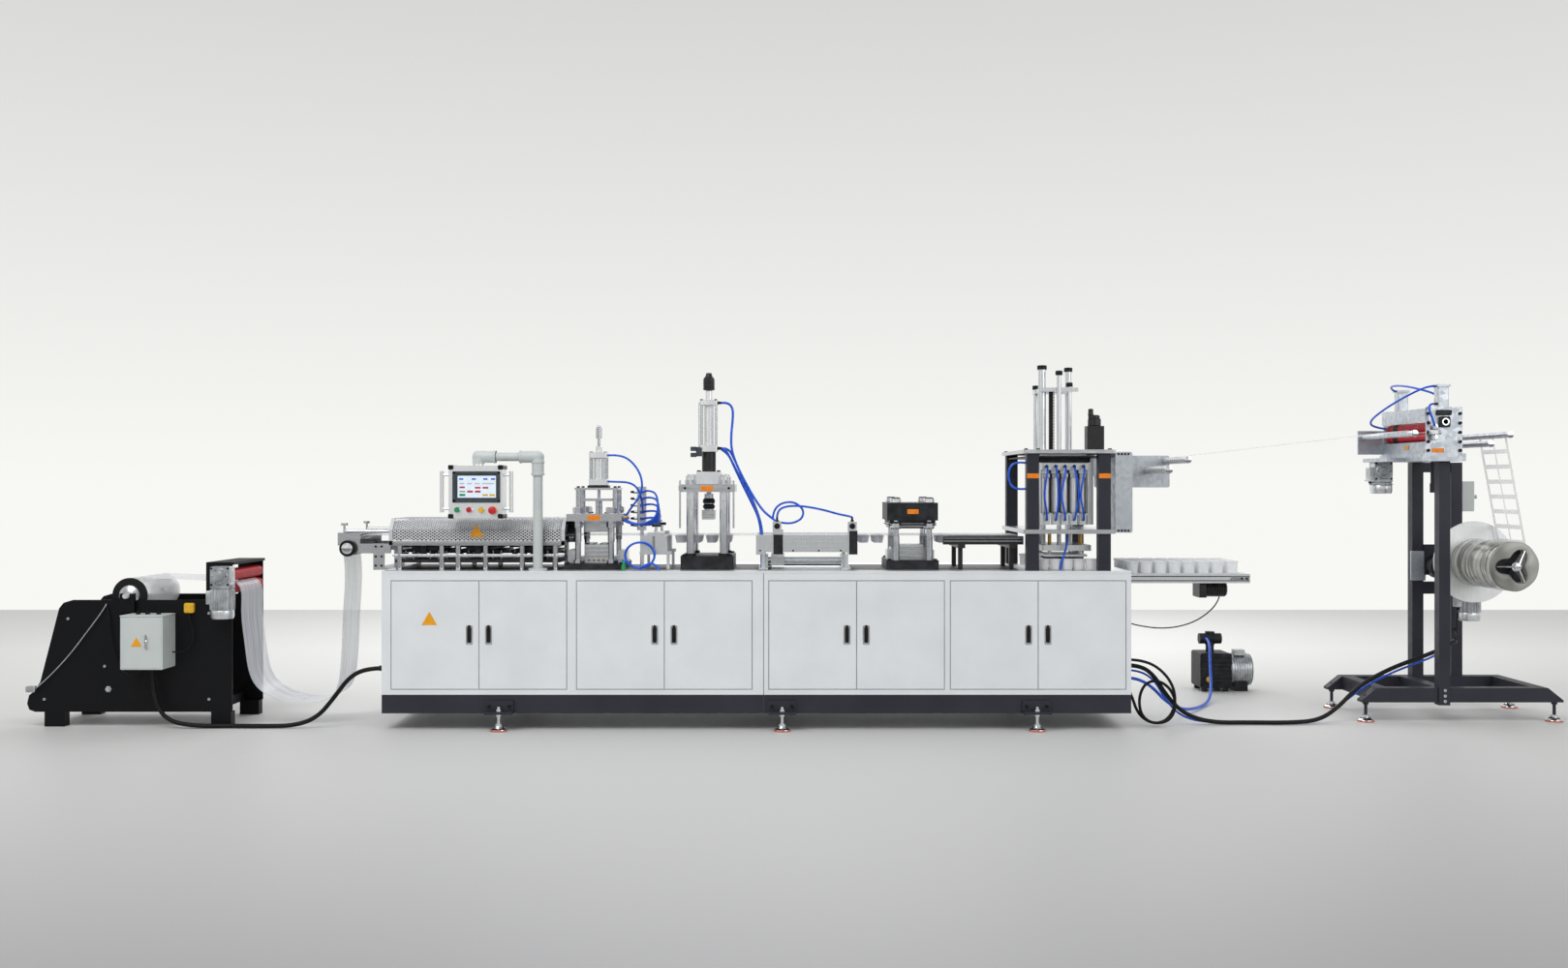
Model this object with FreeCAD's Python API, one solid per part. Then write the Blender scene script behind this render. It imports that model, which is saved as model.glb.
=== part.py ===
"""Cup thermoforming line: film unwinder, cabinet with stations, stacker, conveyor and waste winder."""
import FreeCAD
import Part
import math
import os

V = FreeCAD.Vector
os.makedirs("parts", exist_ok=True)

# Cabinet: the origin is under the middle front levelling foot, X along the web, Y to the back
CABINET_X = (-2157.0, 1880.0)
CABINET_Y = (30.0, 890.0)
TABLE_Z = 857.0
TABLE_THICK = 12.0
SHEET = 3.0
BEAM_Z = (90.0, 189.0)
BEAM_WALL = 60.0
FOOT_XS = (-1521.0, 0.0, 1369.0)
FOOT_OUT = 30.0
FOOT_PAD_R = 45.0
FOOT_PAD_H = 22.0
FOOT_ROD_R = 9.0
BRACKET_W = 150.0

# Doors in four pairs, which fill the cabinet between its stiles
STILES = (48.5, 47.5, 84.5, 27.0, 25.5)
BAYS = 4
BAY_W = (CABINET_X[1] - CABINET_X[0] - sum(STILES)) / BAYS
BAY_CENTRES = tuple(CABINET_X[0] + sum(STILES[:k + 1]) + (k + 0.5) * BAY_W for k in range(BAYS))
DOOR_GAP = 5.0
DOOR_W = (BAY_W - 3 * DOOR_GAP) / 2
DOOR_Z = (222.0, 802.0)
DOOR_T = 20.0
FRAME_T = 30.0
HANDLE_W = 36.0
HANDLE_H = 100.0
HANDLE_IN = 52.0
HANDLE_DEPTH = 8.0
HINGE_IN = 14.0
HINGE_R = 4.0
HINGE_DEEP = 12.0
FIT_GAP = 0.3

# Web of film
WEB_Y = 370.0
WEB_W = 344.0
WEB_Z = 1046.0
WEB_T = 3.0
STATION_Y = (150.0, 590.0)
COLUMN_DY = 192.0
COLUMN_DX = 91.0

# Heater
HEATER_X = (-2144.0, -1185.0)
HEATER_Y = (130.0, 610.0)
HEATER_Z = (991.0, 1138.0)
HEATER_SLOPE = 60.0
HOOD_T = 4.0
HEATER_LEG_XS = (-2090.0, -1860.0, -1770.0, -1620.0, -1420.0, -1240.0)
HEATER_LEG_R = 14.0
HEATER_RAIL_Z = (930.0, 942.0)
HEATER_SHELF_Z = (896.0, 914.0)
HEATER_TAB_Z = (1000.0, 1024.0)
HEATER_BANK_XS = (-2100.0, -1800.0, -1500.0)
HEATER_BANK_L = 270.0
HEATER_BANK_Y = (200.0, 540.0)
UPPER_BANK_Z = (1052.0, 1084.0)
LOWER_BANK_Z = (978.0, 1008.0)
LOWER_ARM_T = 14.0
HANGER_W = 30.0
HANGER_T = 12.0

# Operator panel on its post
POST_X = -1325.0
POST_Y = 90.0
POST_R = 26.0
PIPE_Z = 1474.0
PANEL_X = -1647.0
CASE_X = (-1792.0, -1502.0)
CASE_Y = (10.0, 130.0)
CASE_Z = (1143.0, 1425.0)
NECK = 12.0

# Film inlet
INLET_X = -2366.0
INLET_Z = 975.0
INLET_R = 40.0

# Forming press
FORMING_X = -1028.0
FORMING_COLUMN_R = 16.0
FORMING_BASE_TOP = TABLE_Z + 32.0
FORMING_PLATE_Z = (1123.0, 1162.0)
FORMING_TOP_Z = (1293.0, 1305.0)
PLUG_Z = (1231.0, 1245.0)
GUIDE_GAP = 0.5

# Punch press
PUNCH_X = -411.0
PUNCH_COLUMN_R = 23.0
CROSSHEAD_Z = (1282.0, 1324.0)
PUNCH_BASE_TOP = TABLE_Z + 75.0

# Feed unit
FEED_X = (-143.0, 411.0)
FEED_BEAM_Z = (971.0, 1047.0)

# Cutter
CUTTER_X = 714.0
CUTTER_COLUMN_R = 17.0
CUTTER_BASE_TOP = TABLE_Z + 50.0
CUTTER_HEAD_Z = (1126.0, 1223.0)

# Stacking tower
TOWER_X = (CABINET_X[1] - 577.0, CABINET_X[1] - 79.0)
TOWER_Y = (40.0, 870.0)
TOWER_POST_XS = (TOWER_X[0] + 51.0, TOWER_X[1] - 59.0)
TOWER_POST_YS = (TOWER_Y[0] + 40.0, TOWER_Y[1] - 40.0)
TOWER_POST_W = 66.0
TOWER_COVER_OUT = 93.0
TOWER_MID_Z = (1057.0, 1080.0)
TOWER_TOP_Z = (1492.0, 1512.0)
LIFT_RODS = ((1450.0, 330.0, 21.0, 1963.0), (1453.0, 560.0, 13.0, 1865.0), (1536.0, 280.0, 12.0, 1930.0),
             (1597.0, 300.0, 13.0, 1865.0), (1628.0, 500.0, 18.0, 1963.0))

# Conveyor and pump
CONVEYOR_X = (CABINET_X[1], CABINET_X[1] + 671.0)
CONVEYOR_Y = (130.0, 590.0)
CONVEYOR_Z = (785.0, 835.0)
CUP_R = 33.0
CUP_H = 72.0
CUP_PITCH = 78.0
PUMP_X = 2836.0
PUMP_Y = 1650.0

# Unwinder
UNWINDER_X = (-4126.0, -3006.0)
UNWINDER_Y = (150.0, 650.0)
UNWINDER_Z = (80.0, 692.0)
PLATE_T = 12.0
ROLL_X = -3570.0
ROLL_Z = 716.0
ROLL_R = 95.0
NIP_R = 34.0
NIP_GAP = 3.0
UNWINDER_NIP_X = -3035.0
UNWINDER_NIP_Z = 792.0

# Winder
WINDER_X = (3309.0, 4262.0)
WINDER_Y = (300.0, 900.0)
WINDER_RAIL_Z = (110.0, 190.0)
BACK_POST_XS = (WINDER_X[0] + 416.0, WINDER_X[0] + 646.0)
FRONT_POST_XS = (WINDER_X[0] + 341.0, WINDER_X[0] + 403.0)
BACK_POST_W = 66.0
BACK_BEAM_ZS = ((676.0, 747.0), (1395.0, 1453.0))
HEAD_X = (WINDER_X[0] + 254.0, WINDER_X[0] + 453.0)
HEAD_Y = (250.0, 860.0)
HEAD_LOW = 1495.0
HEAD_H = 258.0
HEAD_Z = (HEAD_LOW, HEAD_LOW + HEAD_H)
COVER_LOW_H = 65.0
COVER_HIGH_DOWN = (81.0, 8.0)
WINDER_NIP_X = HEAD_X[0] + 47.0
WINDER_NIP_Z = HEAD_Z[0] + 121.0
WINDER_NIP_R = 28.0
REEL_X = BACK_POST_XS[1] + 5.0
REEL_Z = 879.0
REEL_DISC_Y = 545.0
REEL_DISC_R = 233.0
REEL_ROLL_R = 135.0
REEL_ROLL_Y = (60.0, 545.0)
BAR_UPPER = (HEAD_X[1] + 203.0, HEAD_LOW + 100.0)
BAR_LOWER = (HEAD_X[1] + 98.0, HEAD_LOW + 50.0)
BAR_LEFT = (HEAD_X[0] - 118.0, HEAD_LOW + 107.0)
BAR_R = 16.0
CABLE_R = 12.0
HOSE_R = 9.0


def box(xs, ys, zs):
    """Block between two values on each axis."""
    return Part.makeBox(xs[1] - xs[0], ys[1] - ys[0], zs[1] - zs[0], V(xs[0], ys[0], zs[0]))


def rod(axis, centre, span, radius):
    """Round bar along an axis; centre gives the other two coordinates in X, Y, Z order."""
    low, high = span
    start, way = {"x": (V(low, *centre), V(1, 0, 0)), "y": (V(centre[0], low, centre[1]), V(0, 1, 0)),
                  "z": (V(centre[0], centre[1], low), V(0, 0, 1))}[axis]
    return Part.makeCylinder(radius, high - low, start, way)


def cone(x, y, low, high, r_low, r_high):
    return Part.makeCone(r_low, r_high, high - low, V(x, y, low), V(0, 0, 1))


def fuse(shapes):
    shapes = list(shapes)
    joined = shapes[0].multiFuse(shapes[1:]) if len(shapes) > 1 else shapes[0]
    return joined.removeSplitter()


def cut(shape, tools):
    return shape.cut(Part.makeCompound(list(tools)))


def group(shapes):
    return Part.makeCompound(list(shapes))


def soften(shape, radius, axis):
    """Round the edges that run along one axis."""
    edges = [e for e in shape.Edges if e.Curve.TypeId == "Part::GeomLine"
             and abs(abs(getattr(e.tangentAt(e.FirstParameter), axis)) - 1) < 1e-6]
    return shape.makeFillet(radius, edges)


def profile(points, y0, y1):
    """Closed outline in X and Z carried from y0 to y1."""
    ring = Part.makePolygon([V(x, y0, z) for x, z in list(points) + [points[0]]])
    return Part.Face(ring).extrude(V(0, y1 - y0, 0))


def four(x, y, dx, dy):
    return [(x + i * dx, y + j * dy) for i in (-1, 1) for j in (-1, 1)]


def tube(points, radius):
    """Round cable on straight runs joined by tangent arcs as large as the runs allow."""
    pts = [V(*p) for p in points]
    edges, at = [], pts[0]
    for before, corner, after in zip(pts, pts[1:], pts[2:]):
        a, b = (before - corner), (after - corner)
        la, lb = a.Length, b.Length
        a.normalize()
        b.normalize()
        turn = math.pi - a.getAngle(b)
        back = 0.45 * min(la, lb)
        bend = back / math.tan(turn / 2)
        start, end = corner + a * back, corner + b * back
        half = (a + b)
        half.normalize()
        centre = corner + half * (bend / math.cos(turn / 2))
        edges.append(Part.LineSegment(at, start).toShape())
        edges.append(Part.Arc(start, centre - half * bend, end).toShape())
        print("bend radius", round(bend))
        at = end
    edges.append(Part.LineSegment(at, pts[-1]).toShape())
    path = Part.Wire(edges)
    way = pts[1] - pts[0]
    ring = Part.Wire(Part.makeCircle(radius, pts[0], way))
    solid = Part.Solid(Part.Shell(path.makePipeShell([ring], True, True).Faces))
    print("cable length", round(path.Length), "volume ratio",
          round(solid.Volume / (math.pi * radius ** 2 * path.Length), 4))
    return solid


def strip(points, y0, y1, thick):
    """Thin film through points in X and Z, as one bent sheet."""
    curve = Part.BSplineCurve()
    curve.interpolate([V(x, y0, z) for x, z in points])
    wire = Part.Wire([curve.toShape()])
    face = wire.extrude(V(0, y1 - y0, 0))
    return face.makeOffsetShape(thick, 0.01, fill=True)


def save(name, shape):
    shape.exportStep("parts/%s.step" % name)


def base_frame():
    x0, x1 = CABINET_X
    y0, y1 = CABINET_Y
    ring = cut(box((x0, x1), (y0, y1), BEAM_Z),
               [box((x0 + BEAM_WALL, x1 - BEAM_WALL), (y0 + BEAM_WALL, y1 - BEAM_WALL), BEAM_Z)])
    middle = [box((x - BEAM_WALL / 2, x + BEAM_WALL / 2), (y0 + BEAM_WALL, y1 - BEAM_WALL), BEAM_Z)
              for x in FOOT_XS]
    brackets = []
    for x in FOOT_XS:
        for y, way in ((y0, -1), (y1, 1)):
            reach = sorted((y, y + way * (FOOT_OUT + 25)))
            plate = box((x - BRACKET_W / 2, x + BRACKET_W / 2), reach, (BEAM_Z[0], BEAM_Z[0] + 14))
            back = sorted((y, y + way * 12))
            upright = box((x - BRACKET_W / 2, x + BRACKET_W / 2), back, (BEAM_Z[0], BEAM_Z[0] + 70))
            hole = rod("z", (x, y + way * FOOT_OUT), (0, 300), FOOT_ROD_R)
            brackets.append(cut(fuse([plate, upright]), [hole]))
    return fuse([ring] + middle + brackets)


def levelling_feet():
    feet = []
    for x in FOOT_XS:
        for y in (CABINET_Y[0] - FOOT_OUT, CABINET_Y[1] + FOOT_OUT):
            pad = cone(x, y, 0, FOOT_PAD_H, FOOT_PAD_R, FOOT_PAD_R * 0.6)
            stem = rod("z", (x, y), (FOOT_PAD_H - 2, BEAM_Z[0] + 40), FOOT_ROD_R)
            nut = rod("z", (x, y), (BEAM_Z[0] - 12, BEAM_Z[0]), 16)
            top_nut = rod("z", (x, y), (BEAM_Z[0] + 14, BEAM_Z[0] + 26), 16)
            feet.append(fuse([pad, stem, nut, top_nut]))
    return group(feet)


def cabinet_walls():
    x0, x1 = CABINET_X
    y0, y1 = CABINET_Y
    top = TABLE_Z - TABLE_THICK
    floor = box((x0, x1), (y0 + FRAME_T, y1), (BEAM_Z[1], BEAM_Z[1] + SHEET))
    back = box((x0, x1), (y1 - FRAME_T, y1), (BEAM_Z[1], top))
    ends = [box((x0, x0 + FRAME_T), (y0 + FRAME_T, y1), (BEAM_Z[1], top)),
            box((x1 - FRAME_T, x1), (y0 + FRAME_T, y1), (BEAM_Z[1], top))]
    return fuse([floor, back] + ends)


def cabinet_front():
    face = box(CABINET_X, (CABINET_Y[0], CABINET_Y[0] + FRAME_T), (BEAM_Z[1], TABLE_Z - TABLE_THICK))
    half = DOOR_W + DOOR_GAP * 1.5
    low, high = DOOR_Z[0] - DOOR_GAP, DOOR_Z[1] + DOOR_GAP
    holes = [box((c - half, c + half), (0, 100), (low, high)) for c in BAY_CENTRES]
    pins = []
    for x, y in [hinge_line(c, side) for c in BAY_CENTRES for side in (-1, 1)]:
        pins.append(rod("z", (x, y), (low - 2, DOOR_Z[0] + HINGE_DEEP), HINGE_R))
        pins.append(rod("z", (x, y), (DOOR_Z[1] - HINGE_DEEP, high + 2), HINGE_R))
    return fuse([cut(face, holes)] + pins)


def hinge_line(centre, side):
    """Place of a door's pivot pins in X and Y."""
    return centre + side * (DOOR_GAP / 2 + DOOR_W - HINGE_IN), CABINET_Y[0] + DOOR_T / 2


def door(centre, side):
    """One door leaf; side is -1 for the left leaf and 1 for the right one."""
    inner = centre + side * DOOR_GAP / 2
    outer = centre + side * (DOOR_GAP / 2 + DOOR_W)
    leaf = box(sorted((inner, outer)), (CABINET_Y[0], CABINET_Y[0] + DOOR_T), DOOR_Z)
    grip_x = centre + side * HANDLE_IN
    grip_z = (DOOR_Z[0] + DOOR_Z[1]) / 2
    pocket = box((grip_x - HANDLE_W / 2, grip_x + HANDLE_W / 2), (CABINET_Y[0], CABINET_Y[0] + HANDLE_DEPTH),
                 (grip_z - HANDLE_H / 2, grip_z + HANDLE_H / 2))
    lever = box((grip_x - HANDLE_W / 4, grip_x + HANDLE_W / 4), (CABINET_Y[0] - 6, CABINET_Y[0] + HANDLE_DEPTH),
                (grip_z - HANDLE_H * 0.35, grip_z + HANDLE_H * 0.35))
    deep = HINGE_DEEP + 1
    bores = [rod("z", hinge_line(centre, side), span, HINGE_R + FIT_GAP)
             for span in ((DOOR_Z[0] - 1, DOOR_Z[0] + deep), (DOOR_Z[1] - deep, DOOR_Z[1] + 1))]
    return fuse([cut(leaf, [pocket] + bores), lever])


def table_top():
    x0, x1 = CABINET_X
    y0, y1 = CABINET_Y
    return box((x0, x1), (y0, y1), (TABLE_Z - TABLE_THICK, TABLE_Z))


def heater_cover():
    y0, y1 = HEATER_Y
    z0, z1 = HEATER_Z
    x0, x1 = HEATER_X
    outer = [(y0, z0), (y0, z1 - HEATER_SLOPE), (y0 + HEATER_SLOPE, z1), (y1 - HEATER_SLOPE, z1),
             (y1, z1 - HEATER_SLOPE), (y1, z0)]
    t = HOOD_T
    inner = [(y0 + t, z0), (y0 + t, z1 - HEATER_SLOPE - t / 2), (y0 + HEATER_SLOPE + t / 2, z1 - t),
             (y1 - HEATER_SLOPE - t / 2, z1 - t), (y1 - t, z1 - HEATER_SLOPE - t / 2), (y1 - t, z0)]

    def hood(points, a, b):
        ring = Part.makePolygon([V(a, y, z) for y, z in points + [points[0]]])
        return Part.Face(ring).extrude(V(b - a, 0, 0))
    return cut(hood(outer, x0, x1), [hood(inner, x0 - 1, x1 + 1)])


def heater_stand():
    """Heating banks above and below the web, hung from frames on a shelf between two rows of legs."""
    y_front, y_back = HEATER_Y[0] + 20, HEATER_Y[1] - 20
    sides = []
    for y, wall in ((y_front, HEATER_Y[0] + HOOD_T + FIT_GAP), (y_back, HEATER_Y[1] - HOOD_T - FIT_GAP)):
        legs = [rod("z", (x, y), (TABLE_Z, HEATER_Z[0] + 40), HEATER_LEG_R) for x in HEATER_LEG_XS]
        rail = box((HEATER_X[0] + 20, HEATER_X[1] - 10), (y - 12, y + 12), HEATER_RAIL_Z)
        tabs = [box((x - HEATER_LEG_R, x + HEATER_LEG_R), sorted((wall, y)), HEATER_TAB_Z)
                for x in HEATER_LEG_XS]
        sides.append(fuse(legs + [rail] + tabs))
    shelf = cut(box((HEATER_X[0] + 30, HEATER_X[1] - 30), (y_front, y_back), HEATER_SHELF_Z), sides)
    hanger_ys = (WEB_Y - WEB_W / 2 - 20, WEB_Y + WEB_W / 2 + 20)
    half = HANGER_T / 2
    pieces = []
    for left in HEATER_BANK_XS:
        middle = left + HEATER_BANK_L / 2
        wide = (middle - HANGER_W / 2, middle + HANGER_W / 2)
        for y in hanger_ys:
            pieces.append(box(wide, (y - half, y + half), (HEATER_SHELF_Z[1], UPPER_BANK_Z[1])))
        pieces.append(box(wide, (hanger_ys[0] - half, hanger_ys[1] + half),
                          (UPPER_BANK_Z[1], UPPER_BANK_Z[1] + HANGER_T)))
        pieces.append(box((middle - 70, middle + 70), (hanger_ys[0] + half, hanger_ys[1] - half),
                          (LOWER_BANK_Z[0] - LOWER_ARM_T, LOWER_BANK_Z[0])))
        for level in (UPPER_BANK_Z, LOWER_BANK_Z):
            pieces.append(box((left, left + HEATER_BANK_L), HEATER_BANK_Y, level))
    return group(sides + [shelf] + pieces)


def hmi_post():
    upright = rod("z", (POST_X, POST_Y), (TABLE_Z, PIPE_Z), POST_R)
    flange = rod("z", (POST_X, POST_Y), (TABLE_Z, TABLE_Z + 12), 50)
    elbow = Part.makeSphere(POST_R + 8, V(POST_X, POST_Y, PIPE_Z))
    sleeve = rod("z", (POST_X, POST_Y), (PIPE_Z - 100, PIPE_Z), POST_R + 7)
    across = rod("x", (POST_Y, PIPE_Z), (PANEL_X, POST_X), POST_R - 2)
    sleeves = [rod("x", (POST_Y, PIPE_Z), (POST_X - 95, POST_X), POST_R + 7),
               rod("x", (POST_Y, PIPE_Z), (PANEL_X, PANEL_X + 95), POST_R + 7)]
    end = Part.makeSphere(POST_R + 8, V(PANEL_X, POST_Y, PIPE_Z))
    down = rod("z", (PANEL_X, POST_Y), (CASE_Z[1] + NECK, PIPE_Z), POST_R + 7)
    return fuse([upright, flange, elbow, sleeve, across, end, down] + sleeves)


def hmi_case():
    body = soften(box(CASE_X, CASE_Y, CASE_Z), 12, "y")
    recess = box((CASE_X[0] + 22, CASE_X[1] - 14), (CASE_Y[0] - 10, CASE_Y[0] + 6),
                 (CASE_Z[0] + 84, CASE_Z[1] - 32))
    neck = rod("z", (PANEL_X, POST_Y), (CASE_Z[1] - 5, CASE_Z[1] + NECK - FIT_GAP), POST_R + 4)
    parts = [cut(body, [recess]), neck]
    for x, way in ((CASE_X[0], -1), (CASE_X[1], 1)):
        for z in (CASE_Z[0] + 50, CASE_Z[1] - 50):
            parts.append(rod("x", (CASE_Y[0] + 25, z), sorted((x, x + way * 45)), 7))
        parts.append(rod("z", (x + way * 42, CASE_Y[0] + 25), (CASE_Z[0] + 30, CASE_Z[1] - 30), 11))
    colours = [rod("y", (x, CASE_Z[0] + 44), (CASE_Y[0] - 12, CASE_Y[0] + 1), 14)
               for x in (-1745.0, -1681.0, -1616.0)]
    stop = [rod("y", (-1554.0, CASE_Z[0] + 42), (CASE_Y[0] - 20, CASE_Y[0] + 1), 18)]
    return fuse(parts + colours + stop)


def hmi_screen():
    return box((CASE_X[0] + 23, CASE_X[1] - 15), (CASE_Y[0] - 2, CASE_Y[0] + 6),
               (CASE_Z[0] + 85, CASE_Z[1] - 33))


def inlet_bracket():
    ys = (140.0, 600.0)
    cheeks = []
    for a, b in ((ys[0], ys[0] + 12), (ys[1] - 12, ys[1])):
        arm = box((INLET_X - 20, CABINET_X[0] + 20), (a, b), (947, 1000))
        block = box((INLET_X - 60, INLET_X + 60), (a, b), (990, 1060))
        knee = box((-2232, -2172), (a, b), (857, 1001))
        hole = rod("y", (INLET_X, INLET_Z), (ys[0] - 20, ys[1] + 20), 10.05)
        cheeks.append(cut(fuse([arm, block, knee]), [hole]))
    foot = box((-2232, -2106), (ys[0], ys[1]), (TABLE_Z, TABLE_Z + 12))
    upper = rod("y", (INLET_X - 35, 1040), ys, 12)
    screw = [rod("z", (INLET_X - 25, y), (1060, 1105), 6) for y in (ys[0] + 6, ys[1] - 6)]
    knob = [rod("z", (INLET_X - 25, y), (1100, 1112), 19) for y in (ys[0] + 6, ys[1] - 6)]
    guide = [rod("x", (y, 1068), (INLET_X - 20, -2144), 10) for y in (ys[0] + 6, ys[1] - 6)]
    return fuse(cheeks + [foot, upper] + screw + knob + guide)


def inlet_roller():
    shell = rod("y", (INLET_X, INLET_Z), (158.0, 582.0), INLET_R)
    shaft = rod("y", (INLET_X, INLET_Z), (120.0, 620.0), 10)
    wheel = rod("y", (INLET_X, INLET_Z), (112.0, 134.0), INLET_R + 3)
    return fuse([shell, shaft, wheel])


def film_loop():
    y0 = WEB_Y - WEB_W / 2
    wrap = INLET_R + 5
    points = [(UNWINDER_NIP_X + 20, UNWINDER_NIP_Z), (-2988, 770), (-2972, 660), (-2950, 420), (-2890, 215),
              (-2760, 138), (-2600, 122), (-2480, 160), (-2432, 300), (-2416, 600), (INLET_X - wrap, 920),
              (INLET_X - wrap * 0.92, INLET_Z + wrap * 0.4), (INLET_X - wrap * 0.5, INLET_Z + wrap * 0.9),
              (INLET_X, INLET_Z + wrap * 1.15), (INLET_X + 62, WEB_Z - WEB_T)]
    return strip(points, y0 + 5, y0 + WEB_W - 5, WEB_T)


def web_strip():
    """Flat film through the stations, with rows of formed cups hanging after the forming press."""
    ys = (WEB_Y - WEB_W / 2 + 5, WEB_Y + WEB_W / 2 - 5)
    start = INLET_X + 62
    flat = box((start, 1300.0), ys, (WEB_Z - WEB_T, WEB_Z))
    cups = []
    spots = [-560.0 + 85 * k for k in range(3)] + [-310.0 + 85 * k for k in range(1)]
    spots += [450.0, 530.0, 900.0 - 12]
    for x in spots:
        for k in range(4):
            cups.append(cone(x, WEB_Y + (k - 1.5) * 80, WEB_Z - 45, WEB_Z - WEB_T, 25, 34))
    return group([flat] + cups)


def press_bases():
    forming = box((FORMING_X - 162, FORMING_X + 162), STATION_Y, (TABLE_Z, FORMING_BASE_TOP))
    punch = soften(box((PUNCH_X - 145, PUNCH_X + 145), STATION_Y, (TABLE_Z, PUNCH_BASE_TOP)), 8, "z")
    cutter = soften(box((CUTTER_X - 143, CUTTER_X + 143), STATION_Y, (TABLE_Z, CUTTER_BASE_TOP)), 8, "z")
    return group([forming, punch, cutter])


def press_dies():
    """Lower tools on the bases, below the web."""
    y0, y1 = WEB_Y - 110, WEB_Y + 110
    base = FORMING_BASE_TOP
    forming = fuse([box((FORMING_X - 66, FORMING_X + 66), (y0, y1), (base, base + 101)),
                    box((FORMING_X - 158, FORMING_X - 120), (y0, y1), (base, base + 71)),
                    box((FORMING_X + 120, FORMING_X + 158), (y0, y1), (base, base + 71)),
                    box((FORMING_X - 158, FORMING_X + 158), (y0, y1), (base + 16, base + 36))])
    base = CUTTER_BASE_TOP
    cutter = fuse([box((CUTTER_X - 68, CUTTER_X + 68), (y0, y1), (base, base + 83)),
                   box((CUTTER_X - 130, CUTTER_X + 130), (y0 + 30, y1 - 30), (base, base + 53))])
    return group([forming, cutter])


def press_columns():
    columns = []
    for x, y in four(FORMING_X, WEB_Y, COLUMN_DX, COLUMN_DY):
        columns.append(fuse([rod("z", (x, y), (FORMING_BASE_TOP, FORMING_PLATE_Z[1] + 37), FORMING_COLUMN_R),
                             rod("z", (x, y), (1086, FORMING_PLATE_Z[0]), 22),
                             rod("z", (x, y), (FORMING_PLATE_Z[1], FORMING_PLATE_Z[1] + 36), 26)]))
    for x, y in four(PUNCH_X, WEB_Y, COLUMN_DX, COLUMN_DY):
        columns.append(fuse([rod("z", (x, y), (PUNCH_BASE_TOP, CROSSHEAD_Z[1] + 56), PUNCH_COLUMN_R - 4),
                             rod("z", (x, y), (PUNCH_BASE_TOP, CROSSHEAD_Z[0]), PUNCH_COLUMN_R),
                             rod("z", (x, y), (CROSSHEAD_Z[1], CROSSHEAD_Z[1] + 43), 27)]))
    for x, y in four(CUTTER_X, WEB_Y, COLUMN_DX, COLUMN_DY):
        columns.append(rod("z", (x, y), (CUTTER_BASE_TOP, CUTTER_HEAD_Z[0] + 59), CUTTER_COLUMN_R))
    return group(columns)


def forming_plates():
    """Upper press plate with its mould, and the small top plate on its tie rods."""
    y0, y1 = STATION_Y
    plate = box((FORMING_X - 150, FORMING_X + 150), (y0 - 15, y1 + 15), FORMING_PLATE_Z)
    mould = box((FORMING_X - 70, FORMING_X + 70), (WEB_Y - 120, WEB_Y + 120), (1060, FORMING_PLATE_Z[0]))
    spots = four(FORMING_X, WEB_Y, COLUMN_DX, COLUMN_DY)
    holes = [rod("z", p, (1000, 1300), FORMING_COLUMN_R) for p in spots]
    holes += [rod("z", (FORMING_X, y), (1000, 1300), 12 + GUIDE_GAP) for y in (WEB_Y - 60, WEB_Y + 60)]
    top = box((FORMING_X - 120, FORMING_X + 120), (WEB_Y - 120, WEB_Y + 120), FORMING_TOP_Z)
    ties = [rod("z", p, (FORMING_PLATE_Z[1], FORMING_TOP_Z[0]), 14) for p in four(FORMING_X, WEB_Y, 102, 100)]
    bore = rod("z", (FORMING_X, WEB_Y), (1280, 1320), 9 + GUIDE_GAP)
    return fuse([cut(fuse([plate, mould]), holes), cut(top, [bore])] + ties)


def forming_plug():
    plate = box((FORMING_X - 80, FORMING_X + 80), (WEB_Y - 85, WEB_Y + 85), PLUG_Z)
    posts = [rod("z", (FORMING_X, y), (1105, PLUG_Z[0]), 12) for y in (WEB_Y - 60, WEB_Y + 60)]
    stem = rod("z", (FORMING_X, WEB_Y), (PLUG_Z[1], 1585), 9)
    knob = rod("z", (FORMING_X, WEB_Y), (1581, 1640), 17)
    tip = Part.makeSphere(12, V(FORMING_X, WEB_Y, 1645))
    return fuse([plate, stem, knob, tip] + posts)


def press_cylinders():
    """Air cylinder on the forming press and the longer one on the punch press."""
    low = FORMING_TOP_Z[1]
    c = (FORMING_X, WEB_Y)

    def cap(x, half, zs):
        return soften(box((x - half, x + half), (WEB_Y - half, WEB_Y + half), zs), half * 0.2, "z")
    forming = [cap(c[0], 52, (low, 1353)), cap(c[0], 51, (1471, 1501)), cap(c[0], 42, (1353, 1471)),
               rod("z", c, (1501, 1536), 18)]
    forming += [rod("z", p, (1353, 1471), 5) for p in four(c[0], WEB_Y, 44, 44)]
    first = cut(fuse(forming), [rod("z", c, (1300, 1600), 9 + GUIDE_GAP)])
    p = (PUNCH_X, WEB_Y)
    punch = [box((p[0] - 67, p[0] + 67), (WEB_Y - 90, WEB_Y + 90), (CROSSHEAD_Z[1], 1394)),
             rod("z", p, (1394, 1506), 37), cap(p[0], 50, (1506, 1544)), rod("z", p, (1544, 1766), 42),
             cap(p[0], 50, (1766, 1793)), rod("z", p, (1793, 1850), 19), rod("z", p, (1850, 1919), 29),
             rod("z", p, (1919, 1946), 13)]
    punch += [rod("z", q, (1544, 1766), 6) for q in four(p[0], WEB_Y, 42, 42)]
    second = cut(fuse(punch), [rod("z", p, (1300, 1490), 14 + GUIDE_GAP)])
    return group([first, second])


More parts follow.
